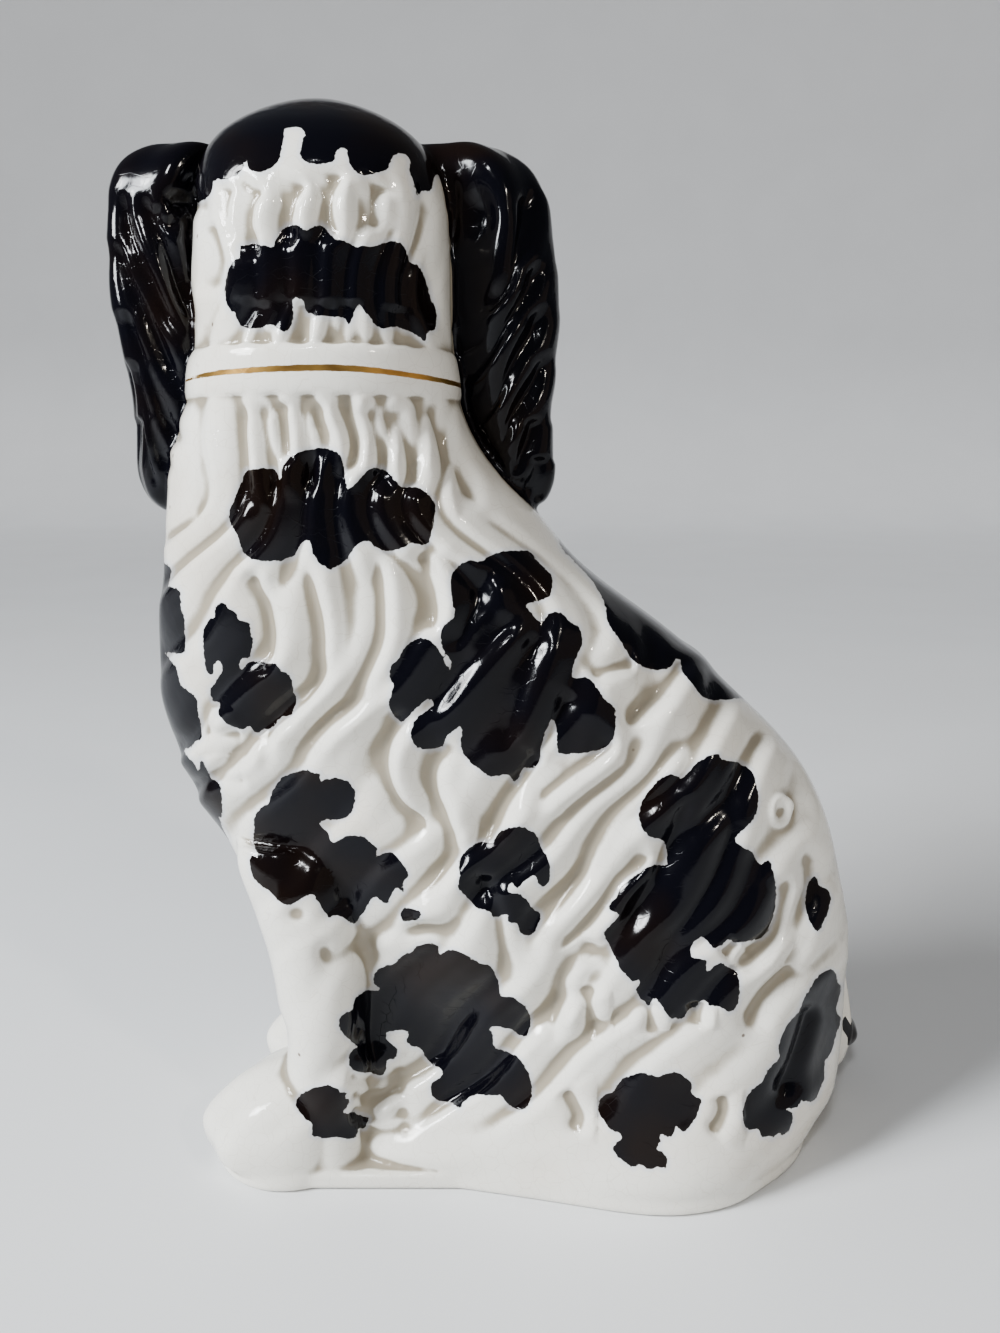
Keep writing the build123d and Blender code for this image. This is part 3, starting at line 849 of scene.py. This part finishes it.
def modelled_skin():
    """The whole outer skin with its fur, face and vent."""
    sizes = bpy.context.scene.figure_sizes
    names = [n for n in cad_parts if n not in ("padlock", "seam_roll")]
    skin = remeshed(clay_mesh(names, "clay"), sizes.voxel, "skin")
    edges = edges_of(skin)
    points = relax(points_of(skin), edges, 6)
    set_points(skin, points)
    normals = relax(normals_of(skin), edges, 4)
    normals /= np.linalg.norm(normals, axis=1)[:, None]
    floor = smooth_step(points[:, 2], 7 * MM, 14 * MM)
    collar = collar_share(points)
    places = photo_places(mirrored_near(points))[0]
    seen = smooth_step(np.abs(normals[:, 1]), 0.2, 0.6)
    fur = (furrow_relief(places, FURROWS, COAT_EDGE) + combed_relief(places)) * floor * (1 - collar) * seen
    locks = furrow_relief(places, EAR_FURROWS, EAR_EDGE)
    pressed = dent_depth(places) * floor * (1 - collar)
    furred = 1 - face_share(points)
    relief = (fur * sizes.relief - pressed) * furred + locks
    relief += face_relief(points) + vent_relief(points, vent_place()) + COLLAR_RISE * collar
    points = points + normals * relief[:, None]
    points = mended_outline(points)
    points[:, 2] = np.maximum(points[:, 2], 0)
    set_points(skin, points)
    return skin


def hollows(points, normals, edges):
    """How hollow the skin is at each vertex: above zero in furrows, where the glaze is darkened as pooled
    glaze and as painted shade.
    """
    wide = relax(points, edges, HOLLOW_ROUNDS)
    return np.einsum("ij,ij->i", wide - points, normals) / MM


# Cutting the skin into the pieces that the potter stuck together

def cut(name, mesh, other, operation):
    """The solid of one mesh joined to, cut by or shared with another."""
    piece, tool = linked(name, mesh), linked("tool", other)
    change = piece.modifiers.new("Cut", "BOOLEAN")
    change.operation = operation
    change.solver = "MANIFOLD"
    change.object = tool
    made = evaluated(piece, name)
    bpy.data.objects.remove(piece)
    bpy.data.objects.remove(tool)
    if not made.polygons:
        raise RuntimeError(f"cutting {name} left nothing")
    return made


def grown(names, by, name):
    """A coarse copy of CAD nodes, pushed outwards."""
    coarse = remeshed(joined_nodes(names, name), CUTTING_GRAIN, name)
    set_points(coarse, mended_outline(points_of(coarse) + by * normals_of(coarse)))
    return coarse


def block(low, high, name):
    """A closed box between two corners."""
    corners = [(x, y, z) for z in (low[2], high[2]) for y in (low[1], high[1]) for x in (low[0], high[0])]
    faces = [(0, 2, 3, 1), (4, 5, 7, 6), (0, 1, 5, 4), (2, 6, 7, 3), (0, 4, 6, 2), (1, 3, 7, 5)]
    mesh = bpy.data.meshes.new(name)
    mesh.from_pydata(corners, [], faces)
    return mesh


def paint_values(points):
    """How far inside the enamel patches each point is, in millimetres."""
    near_places, near_scale = photo_places(points)
    far_places, far_scale = photo_places(mirrored_near(points))
    near = patch_depth(near_places, NEAR_PATCHES) * near_scale / MM
    far_patches = [turned_about(*place) for place in FAR_PLACES]
    far_patches += [FAR_CROWN, CHEST_EDGE, SPINE, RUMP_STRIP]
    far = patch_depth(far_places, far_patches) * far_scale / MM
    share = smooth_step(points[:, 1], PARTING - 1.5 * MM, PARTING + 1.5 * MM)
    return near * (1 - share) + far * share


def gilt_depth(points):
    """How far inside the gilt line round the collar each point is, in millimetres."""
    turn = (points[:, 0] - HEAD_ALONG) / MM
    middle = GILT_HEIGHT - GILT_DROP * (turn / 37) ** 2 + 0.16 * np.sin(turn / 7)
    half = GILT_HALF + 0.08 * np.sin(turn / 11 + 1) - 0.35 * (1 - smooth_step(turn, -38, -24))
    return half - np.abs(points[:, 2] / MM - middle)


def ink_depth(points):
    """How far inside the painted lines of the face each point is, in millimetres."""
    places = face_places(points)
    ink = np.full(len(points), BARE)
    near = np.where(face_share(points) > 0.02)[0]
    for half, corners in FACE_STROKES:
        gap = line_distance(places[near], smooth_line(corners, False))[0]
        ink[near] = np.maximum(ink[near], half - gap)
    pupil = PUPIL_RADIUS - np.linalg.norm(places[near] - IRIS_PLACE, axis=1)
    nose = (1 - np.linalg.norm((places[near] - NOSE_PLACE) / NOSE_REACH, axis=1)) * min(NOSE_REACH)
    ink[near] = np.maximum(ink[near], np.maximum(pupil, nose))
    return ink


def iris_depth(points):
    """How far inside the amber of an eye each point is, in millimetres."""
    depth = IRIS_RADIUS - np.linalg.norm(face_places(points) - IRIS_PLACE, axis=1)
    return np.where(face_share(points) > 0.02, depth, BARE)


def add_values(mesh, name, values):
    attribute = mesh.attributes.new(name, "FLOAT", "POINT")
    attribute.data.foreach_set("value", values.astype(np.float32))


class Skin:
    """The modelled skin, kept while the pieces are cut from it."""

    mesh = None
    tree = None
    normals = None
    hollow = None


def hold_skin():
    mesh = modelled_skin()
    points, edges = points_of(mesh), edges_of(mesh)
    Skin.mesh = mesh
    Skin.normals = normals_of(mesh)
    Skin.hollow = hollows(points, Skin.normals, edges)
    Skin.tree = KDTree(len(points))
    for i, place in enumerate(points):
        Skin.tree.insert(place, i)
    Skin.tree.balance()


def shade_as_skin(mesh, normals, gap):
    """Gives a cut mesh the skin's own normals where it lies on the skin, and flat faces elsewhere."""
    corners = gathered(mesh.loops, "vertex_index", 1, np.int32)[:, 0]
    sizes = gathered(mesh.polygons, "loop_total", 1, np.int32)[:, 0]
    face_normals = np.repeat(gathered(mesh.polygon_normals, "vector", 3, np.float32), sizes, axis=0)
    skin_normals = normals[corners]
    on_skin = (gap[corners] < 0.3 * MM) & (np.einsum("ij,ij->i", face_normals, skin_normals) > 0.55)
    smooth = np.where(on_skin[:, None], skin_normals, face_normals)
    mesh.polygons.foreach_set("use_smooth", np.ones(len(mesh.polygons), bool))
    mesh.normals_split_custom_set(smooth.tolist())


def hang_piece(name, ending, mesh, material):
    """Puts a finished mesh in the frame in place of its node."""
    mesh.materials.clear()
    mesh.materials.append(material)
    piece = linked(name + ending, mesh)
    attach(piece, "root")
    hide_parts(name)


def finish_piece(name, mesh, black):
    """Gives a piece its paint values, the skin's own normals, its material and its place in the frame."""
    points = points_of(mesh)
    found = [Skin.tree.find(p) for p in points]
    index = np.array([f[1] for f in found])
    enamel = np.full(len(points), COVERED) if black else paint_values(points)
    add_values(mesh, "enamel", enamel)
    add_values(mesh, "hollow", Skin.hollow[index])
    add_values(mesh, "gilt", np.full(len(points), BARE) if black else gilt_depth(points))
    add_values(mesh, "ink", ink_depth(points))
    add_values(mesh, "iris", iris_depth(points))
    shade_as_skin(mesh, Skin.normals[index], np.array([f[2] for f in found]))
    hang_piece(name, "_glazed", mesh, painted_glaze())


# Shader writing

class Wire:
    """A socket that arithmetic can be written on."""

    def __init__(self, shader, socket):
        self.shader = shader
        self.socket = socket

    def maths(self, operation, *values):
        return self.shader.node("ShaderNodeMath", {"operation": operation}, *values)

    def __add__(self, other):
        return self.maths("ADD", self, other)

    def __sub__(self, other):
        return self.maths("SUBTRACT", self, other)

    def __mul__(self, other):
        return self.maths("MULTIPLY", self, other)

    def __rsub__(self, other):
        return self.maths("SUBTRACT", other, self)

    __radd__ = __add__
    __rmul__ = __mul__

    def step(self, low, high):
        """A smooth rise from 0 at low to 1 at high."""
        settings = {"interpolation_type": "SMOOTHSTEP"}
        return self.shader.node("ShaderNodeMapRange", settings, self, low, high)


class Shader:
    """Writes a material's nodes."""

    def __init__(self, name):
        self.material = bpy.data.materials.new(name)
        self.material.use_nodes = True
        self.tree = self.material.node_tree
        self.tree.nodes.clear()

    def node(self, kind, settings, *values, output=0, **named):
        made = self.tree.nodes.new(kind)
        for key, value in settings.items():
            setattr(made, key, value)
        slots = list(enumerate(values)) + list(named.items())
        for key, value in slots:
            socket = made.inputs[key.replace("_", " ") if isinstance(key, str) else key]
            if isinstance(value, Wire):
                self.tree.links.new(value.socket, socket)
            else:
                socket.default_value = value
        return Wire(self, made.outputs[output])

    def attribute(self, name):
        return self.node("ShaderNodeAttribute", {"attribute_name": name}, output="Fac")

    def place(self):
        return self.node("ShaderNodeTexCoord", {}, output="Object")

    def mix(self, share, first, second):
        made = self.tree.nodes.new("ShaderNodeMix")
        made.data_type = "RGBA"
        for socket, value in zip((made.inputs[0], made.inputs[6], made.inputs[7]), (share, first, second)):
            if isinstance(value, Wire):
                self.tree.links.new(value.socket, socket)
            elif isinstance(value, float):
                socket.default_value = value
            else:
                socket.default_value = (*value, 1)
        return Wire(self, made.outputs[2])

    def vector(self, operation, *values, **named):
        return self.node("ShaderNodeVectorMath", {"operation": operation}, *values, **named)

    def noise(self, place, scale, detail=2.0, output=0):
        return self.node(
            "ShaderNodeTexNoise", {}, place, output=output, Scale=scale, Detail=detail, Roughness=0.55
        )

    def finish(self, **sockets):
        shaded = self.node("ShaderNodeBsdfPrincipled", {}, **sockets)
        out = self.tree.nodes.new("ShaderNodeOutputMaterial")
        self.tree.links.new(shaded.socket, out.inputs["Surface"])
        return self.material


def painted_glaze():
    """Cream lead glaze over white clay, with blue-black enamel, a gilt line and the furrows darkened as
    pooled glaze and painted shade, as one finish.
    """
    if "painted_glaze" in bpy.data.materials:
        return bpy.data.materials["painted_glaze"]
    colours = bpy.context.scene.paint_colours
    shader = Shader("painted_glaze")
    place = shader.place()
    ragged = (shader.noise(place, 900.0) - 0.5) * 0.9 + (shader.noise(place, 300.0) - 0.5) * 0.9
    edge = shader.attribute("enamel") + ragged
    black = edge.step(-0.12, 0.12)
    halo = edge.step(-1.8, 0.0) * (1 - black) * 0.3
    hollow = shader.attribute("hollow")
    # How far the furrows are darkened: partly glaze lying thick in a hollow, partly painted shade where the
    # furrows fall in shadow
    pooled_glaze_and_shade = (hollow + (shader.noise(place, 150.0) - 0.5) * 0.25).step(0.02, 0.5)
    cloud = shader.noise(place, 38.0, 3.0)
    glaze = shader.mix(cloud.step(0.35, 0.7) * 0.3, tuple(colours.glaze), (0.72, 0.70, 0.66))
    stain = shader.noise(place, 16.0, 4.0).step(0.52, 0.75)
    glaze = shader.mix(stain * 0.28, glaze, (0.58, 0.47, 0.34))
    # Lays the pooled glaze and the painted shade into the furrows
    glaze = shader.mix(pooled_glaze_and_shade * 0.95, glaze, tuple(colours.pooled_glaze_and_shade))
    wobble = shader.noise(place, 120.0, output="Color")
    cells = shader.node(
        "ShaderNodeTexVoronoi", {"feature": "DISTANCE_TO_EDGE"}, output="Distance",
        Vector=shader.vector("ADD", place, shader.vector("SCALE", wobble, Scale=0.004)), Scale=230.0,
    )
    crazing = (1 - cells.step(0.0, 0.03)) * (0.16 + pooled_glaze_and_shade * 0.3)
    glaze = shader.mix(crazing, glaze, (0.36, 0.30, 0.23))
    dots = shader.node("ShaderNodeTexVoronoi", {}, output="Distance", Vector=place, Scale=90.0)
    rare = shader.noise(place, 24.0).step(0.54, 0.6)
    speck = (1 - dots.step(0.03, 0.07)) * rare
    glaze = shader.mix(speck * 0.8, glaze, (0.10, 0.06, 0.035))
    glaze = shader.mix(halo, glaze, (0.46, 0.53, 0.68))
    brown = shader.noise(place, 26.0).step(0.45, 0.7)
    enamel = shader.mix(brown * 0.7, tuple(colours.enamel), (0.012, 0.006, 0.003))
    colour = shader.mix(black, glaze, enamel)
    iris = shader.attribute("iris").step(-0.1, 0.1)
    streak = shader.noise(place, 700.0, 2.0)
    colour = shader.mix(iris, colour, shader.mix(streak, (0.20, 0.08, 0.015), (0.42, 0.20, 0.04)))
    ink = (shader.attribute("ink") + ragged * 0.12).step(-0.08, 0.08)
    colour = shader.mix(ink, colour, (0.010, 0.008, 0.008))
    worn = (shader.noise(place, 420.0, 3.0) - 0.5) * 0.45
    gilt = (shader.attribute("gilt") + worn).step(-0.1, 0.15)
    tarnish = shader.noise(place, 60.0, 3.0).step(0.45, 0.7)
    gold = shader.mix(tarnish, tuple(colours.gilding), (0.20, 0.10, 0.04))
    colour = shader.mix(gilt, colour, gold)
    orange = shader.noise(place, 260.0, 2.0) * 0.4 + shader.noise(place, 60.0) + crazing * 0.6 + black * 0.4
    bumped = shader.node("ShaderNodeBump", {}, Strength=0.22, Distance=0.0004, Height=orange)
    rough = 0.05 + shader.noise(place, 90.0) * 0.07 + gilt * 0.2 + black * 0.03
    return shader.finish(
        Base_Color=colour, Roughness=rough, Metallic=gilt * 0.9, Normal=bumped, IOR=1.37,
    )


def worn_gilding():
    """Thin gold on the padlock, dark in its hollows and rubbed brown."""
    shader = Shader("worn_gilding")
    place = shader.place()
    low = shader.attribute("hollow").step(0.0, 0.12)
    rubbed = shader.noise(place, 500.0, 4.0).step(0.42, 0.62)
    colour = shader.mix(rubbed * 0.6, tuple(bpy.context.scene.paint_colours.gilding), (0.34, 0.19, 0.07))
    colour = shader.mix(low * 0.8, colour, (0.06, 0.03, 0.015))
    fine = shader.noise(place, 1500.0, 3.0)
    bumped = shader.node("ShaderNodeBump", {}, Strength=0.3, Distance=0.0002, Height=fine)
    return shader.finish(
        Base_Color=colour, Roughness=0.28 + rubbed * 0.2, Metallic=0.9 - low * 0.5, Normal=bumped
    )


def painted_dots():
    """Thick enamel of the whisker dots."""
    shader = Shader("painted_dots")
    place = shader.place()
    tone = shader.noise(place, 300.0, 2.0)
    colour = shader.mix(tone, (0.010, 0.008, 0.008), (0.022, 0.012, 0.008))
    bumped = shader.node("ShaderNodeBump", {}, Strength=0.2, Distance=0.0001, Height=tone)
    return shader.finish(Base_Color=colour, Roughness=0.12 + tone * 0.1, Normal=bumped)


def thumbed_clay():
    """Unglazed biscuit clay with thumb marks."""
    shader = Shader("thumbed_clay")
    place = shader.place()
    tone = shader.noise(place, 45.0, 4.0)
    colour = shader.mix(tone, (0.62, 0.53, 0.42), (0.76, 0.69, 0.58))
    height = shader.noise(place, 80.0, 3.0) + shader.noise(place, 900.0) * 0.2
    bumped = shader.node("ShaderNodeBump", {}, Strength=0.5, Distance=0.0008, Height=height)
    return shader.finish(Base_Color=colour, Roughness=0.75 + tone * 0.15, Normal=bumped)


def pale_floor():
    shader = Shader("studio_floor")
    tone = shader.noise(shader.place(), 6.0)
    colour = shader.mix(tone, (0.72, 0.73, 0.74), (0.77, 0.78, 0.79))
    return shader.finish(Base_Color=colour, Roughness=0.6 + tone * 0.1)


# Operators

class SPANIEL_OT_skin(bpy.types.Operator):
    """Press the clay into one skin and model its coat, face and vent"""

    bl_idname = "spaniel.skin"
    bl_label = "Skin"

    def execute(self, context):
        hold_skin()
        return {"FINISHED"}


class SPANIEL_OT_pieces(bpy.types.Operator):
    """Cut the skin into the shells, the slab, the ears, the forelegs and the tail"""

    bl_idname = "spaniel.pieces"
    bl_label = "Pieces"

    def execute(self, context):
        shells = clay_mesh(["back_shell", "front_shell", "base_slab"], "core")
        core = remeshed(shells, CUTTING_GRAIN, "core")
        set_points(core, mended_outline(points_of(core)))
        rest = Skin.mesh
        for name, slot in ADDED.items():
            tool = cut("reach", grown([name], CUTTING_REACH, name), core, "DIFFERENCE")
            finish_piece(name, cut(name, Skin.mesh, tool, "INTERSECT"), name in BLACK)
            rest = cut("rest", rest, tool, "DIFFERENCE")
        far_corner = (-1, -1, -1)
        below = block(far_corner, (1, 1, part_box("base_slab")[1].z), "below")
        slab = cut("slab", rest, below, "INTERSECT")
        finish_piece("base_slab", slab, False)
        rest = cut("rest", rest, below, "DIFFERENCE")
        near = block(far_corner, (1, PARTING, 1), "near")
        finish_piece("back_shell", cut("back", rest, near, "INTERSECT"), False)
        finish_piece("front_shell", cut("front", rest, near, "DIFFERENCE"), False)
        return {"FINISHED"}


def skin_point(out, up, side):
    """The skin's point on the face at a place out from its middle and up, and the way it faces."""
    ahead = Vector((HEAD_ALONG + side * out * MM, PARTING + LOOK_FROM, up * MM))
    hit = bpy.data.objects["front_shell_glazed"].ray_cast(ahead, Vector((0, -1, 0)))
    if not hit[0]:
        raise RuntimeError(f"no face at {out}, {up}")
    return hit[1], hit[2]


def dots_tree():
    """A node tree that sets a flat bead on each point, facing along the point's own normal."""
    tree = bpy.data.node_groups.new("whisker_dots", "GeometryNodeTree")
    tree.interface.new_socket("Geometry", in_out="INPUT", socket_type="NodeSocketGeometry")
    radius = tree.interface.new_socket("Dot radius", in_out="INPUT", socket_type="NodeSocketFloat")
    finish = tree.interface.new_socket("Finish", in_out="INPUT", socket_type="NodeSocketMaterial")
    tree.interface.new_socket("Geometry", in_out="OUTPUT", socket_type="NodeSocketGeometry")
    kinds = {
        "given": "NodeGroupInput",
        "made": "NodeGroupOutput",
        "bead": "GeometryNodeMeshIcoSphere",
        "facing": "GeometryNodeInputNamedAttribute",
        "turn": "FunctionNodeAlignRotationToVector",
        "uneven": "FunctionNodeRandomValue",
        "size": "ShaderNodeMath",
        "flat": "ShaderNodeMath",
        "scale": "ShaderNodeCombineXYZ",
        "set": "GeometryNodeInstanceOnPoints",
        "real": "GeometryNodeRealizeInstances",
        "smooth": "GeometryNodeSetShadeSmooth",
        "paint": "GeometryNodeSetMaterial",
    }
    nodes = {name: tree.nodes.new(kind) for name, kind in kinds.items()}
    nodes["bead"].inputs["Subdivisions"].default_value = 3
    nodes["facing"].data_type = "FLOAT_VECTOR"
    nodes["facing"].inputs["Name"].default_value = "facing"
    nodes["turn"].axis = "Z"
    uneven = nodes["uneven"]
    uneven.inputs[2].default_value = 0.8
    uneven.inputs[3].default_value = 1.15
    uneven.inputs["Seed"].default_value = 4
    for name in ("size", "flat"):
        nodes[name].operation = "MULTIPLY"
    nodes["flat"].inputs[1].default_value = 0.4
    links = (
        ("given", "Dot radius", "size", 0), ("uneven", 1, "size", 1), ("size", 0, "flat", 0),
        ("size", 0, "scale", "X"), ("size", 0, "scale", "Y"), ("flat", 0, "scale", "Z"),
        ("facing", 0, "turn", "Vector"), ("given", "Geometry", "set", "Points"),
        ("bead", "Mesh", "set", "Instance"), ("turn", 0, "set", "Rotation"), ("scale", 0, "set", "Scale"),
        ("set", 0, "real", 0), ("real", 0, "smooth", 0), ("smooth", 0, "paint", 0),
        ("given", "Finish", "paint", "Material"), ("paint", 0, "made", 0),
    )
    for source, out, target, into in links:
        tree.links.new(nodes[source].outputs[out], nodes[target].inputs[into])
    return tree, radius.identifier, finish.identifier


class SPANIEL_OT_whiskers(bpy.types.Operator):
    """Set the raised whisker dots on the muzzle"""

    bl_idname = "spaniel.whiskers"
    bl_label = "Whisker dots"

    def execute(self, context):
        found = [skin_point(out, up, side) for side in (-1, 1) for out, up in WHISKER_DOTS]
        mesh = bpy.data.meshes.new("dot_places")
        mesh.from_pydata([tuple(place) for place, facing in found], [], [])
        attribute = mesh.attributes.new("facing", "FLOAT_VECTOR", "POINT")
        attribute.data.foreach_set("vector", np.array([tuple(facing) for place, facing in found]).ravel())
        dots = linked("dot_places", mesh)
        tree, radius, finish = dots_tree()
        change = dots.modifiers.new("Dots", "NODES")
        change.node_group = tree
        change[radius] = WHISKER_RADIUS
        change[finish] = painted_dots()
        made = linked("whisker_dots", evaluated(dots, "whisker_dots"))
        bpy.data.objects.remove(dots)
        if not made.data.polygons:
            raise RuntimeError("no whisker dots were made")
        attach(made, "root")
        return {"FINISHED"}


class SPANIEL_OT_padlock(bpy.types.Operator):
    """Model the padlock's raised edge, keyhole and gilding"""

    bl_idname = "spaniel.padlock"
    bl_label = "Padlock"

    def execute(self, context):
        mesh = remeshed(joined_nodes(["padlock"], "padlock"), PADLOCK_GRAIN, "padlock")
        edges = edges_of(mesh)
        points = relax(points_of(mesh), edges, 2)
        set_points(mesh, points)
        normals = normals_of(mesh)
        low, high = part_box("padlock")
        width = high.x - low.x
        # The plate's sunk field and keyhole, in shares of the padlock's width
        middle = np.array([(low.x + high.x) / 2, low.z + 0.46 * width])
        away = (points[:, (0, 2)] - middle) / width
        face = smooth_step(normals[:, 1], 0.5, 0.9)
        rim = np.maximum(np.abs(away[:, 0]) / 0.40, np.abs(away[:, 1]) / 0.36)
        sunk = 0.35 * MM * (1 - smooth_step(rim, 0.86, 1.0))
        hole = 0.9 * MM * (1 - smooth_step(np.linalg.norm(away - (0, 0.06), axis=1), 0.05, 0.09))
        slot = np.abs(away[:, 0]) < 0.035
        slot &= (away[:, 1] < 0.06) & (away[:, 1] > -0.16)
        points = points - normals * (face * np.maximum(sunk, np.maximum(hole, 0.8 * MM * slot)))[:, None]
        set_points(mesh, points)
        add_values(mesh, "hollow", hollows(points, normals_of(mesh), edges))
        mesh.polygons.foreach_set("use_smooth", np.ones(len(mesh.polygons), bool))
        hang_piece("padlock", "_finished", mesh, worn_gilding())
        return {"FINISHED"}


class SPANIEL_OT_roll(bpy.types.Operator):
    """Thumb the roll of clay over the parting line inside"""

    bl_idname = "spaniel.roll"
    bl_label = "Seam roll"

    def execute(self, context):
        mesh = remeshed(joined_nodes(["seam_roll"], "seam_roll"), ROLL_GRAIN, "seam_roll")
        edges = edges_of(mesh)
        points = relax(points_of(mesh), edges, 3)
        set_points(mesh, points)
        turn = np.arctan2(points[:, 2] - TOP / 2, points[:, 0])
        thumb = THUMB_RISE * np.cos(THUMB_MARKS * turn) * np.cos((points[:, 1] - PARTING) / THUMB_SPREAD)
        set_points(mesh, points + normals_of(mesh) * (thumb - ROLL_SHRINK)[:, None])
        mesh.polygons.foreach_set("use_smooth", np.ones(len(mesh.polygons), bool))
        hang_piece("seam_roll", "_finished", mesh, thumbed_clay())
        return {"FINISHED"}


def lit(name, kind, along, energy, colour):
    """A light that shines along a direction."""
    light = linked(name, bpy.data.lights.new(name, kind))
    light.data.energy = energy
    light.data.color = colour
    light.rotation_euler = along.to_track_quat("-Z", "Y").to_euler()
    return light


def set_lights():
    for name, along, width, strength, colour in FAR_LIGHTS:
        lit(name, "SUN", Vector(along), strength, colour).data.angle = math.radians(width)
    middle = Vector((ANCHOR, 0, LIT_HEIGHT))
    for name, place, size, watts, colour in NEAR_LIGHTS:
        light = lit(name, "AREA", middle - Vector(place), watts, colour)
        light.location = place
        light.data.shape = "RECTANGLE"
        light.data.size, light.data.size_y = size
    sky = bpy.data.worlds.new("studio")
    sky.use_nodes = True
    sky.node_tree.nodes["Background"].inputs["Color"].default_value = SKY_COLOUR
    sky.node_tree.nodes["Background"].inputs["Strength"].default_value = SKY_STRENGTH
    bpy.context.scene.world = sky


def set_floor():
    """A pale floor that bends up into a wall far behind the figure."""
    profile = [(-FLOOR_REACH, 0.0), (FLOOR_DEPTH, 0.0)]
    for i in range(1, FLOOR_BEND_STEPS + 1):
        turn = math.pi / 2 * i / FLOOR_BEND_STEPS
        back, up = FLOOR_BEND * math.sin(turn), FLOOR_BEND - FLOOR_BEND * math.cos(turn)
        profile.append((FLOOR_DEPTH + back, up))
    profile.append((FLOOR_DEPTH + FLOOR_BEND, WALL_HEIGHT))
    points = [(x, y, z) for y, z in profile for x in (-FLOOR_REACH, FLOOR_REACH)]
    faces = [(2 * i, 2 * i + 1, 2 * i + 3, 2 * i + 2) for i in range(len(profile) - 1)]
    mesh = bpy.data.meshes.new("floor")
    mesh.from_pydata(points, [], faces)
    mesh.polygons.foreach_set("use_smooth", [True] * len(faces))
    mesh.materials.append(pale_floor())
    linked("floor", mesh)


def set_camera():
    """The camera where the photograph was taken from."""
    lens = bpy.data.cameras.new("photo_camera")
    lens.sensor_fit = "VERTICAL"
    lens.sensor_height = FILM_HEIGHT
    lens.sensor_width = FILM_HEIGHT
    lens.lens = FILM_HEIGHT * PHOTO_FOCAL / PHOTO_HEIGHT
    camera = linked("photo_camera", lens)
    camera.location = CAMERA
    camera.rotation_euler = (math.pi / 2 - CAMERA_PITCH, 0, 0)
    bpy.context.scene.camera = camera


class SPANIEL_OT_stage(bpy.types.Operator):
    """Set the pale floor, the soft lights and the camera"""

    bl_idname = "spaniel.stage"
    bl_label = "Stage"

    def execute(self, context):
        set_floor()
        set_lights()
        set_camera()
        bpy.context.scene.view_settings.look = "AgX - Medium High Contrast"
        return {"FINISHED"}


class SPANIEL_PT_panel(bpy.types.Panel):
    """Sizes, colours and steps of the spaniel"""

    bl_idname = "SPANIEL_PT_panel"
    bl_label = "Seated spaniel"
    bl_space_type = "VIEW_3D"
    bl_region_type = "UI"
    bl_category = "Spaniel"

    def draw(self, context):
        layout = self.layout
        for settings in (context.scene.figure_sizes, context.scene.paint_colours):
            for name in settings.__annotations__:
                layout.prop(settings, name)
        for operator in OPERATORS:
            layout.operator(operator.bl_idname)


OPERATORS = (
    SPANIEL_OT_skin, SPANIEL_OT_pieces, SPANIEL_OT_whiskers, SPANIEL_OT_padlock, SPANIEL_OT_roll,
    SPANIEL_OT_stage,
)
CLASSES = (FigureSizes, PaintColours, *OPERATORS, SPANIEL_PT_panel)


def register():
    for made in CLASSES:
        bpy.utils.register_class(made)
    bpy.types.Scene.figure_sizes = bpy.props.PointerProperty(type=FigureSizes)
    bpy.types.Scene.paint_colours = bpy.props.PointerProperty(type=PaintColours)


def unregister():
    del bpy.types.Scene.paint_colours
    del bpy.types.Scene.figure_sizes
    for made in reversed(CLASSES):
        bpy.utils.unregister_class(made)


def main():
    register()
    bpy.ops.spaniel.skin()
    bpy.ops.spaniel.pieces()
    bpy.ops.spaniel.whiskers()
    bpy.ops.spaniel.padlock()
    bpy.ops.spaniel.roll()
    bpy.ops.spaniel.stage()


if __name__ == "__main__":
    main()
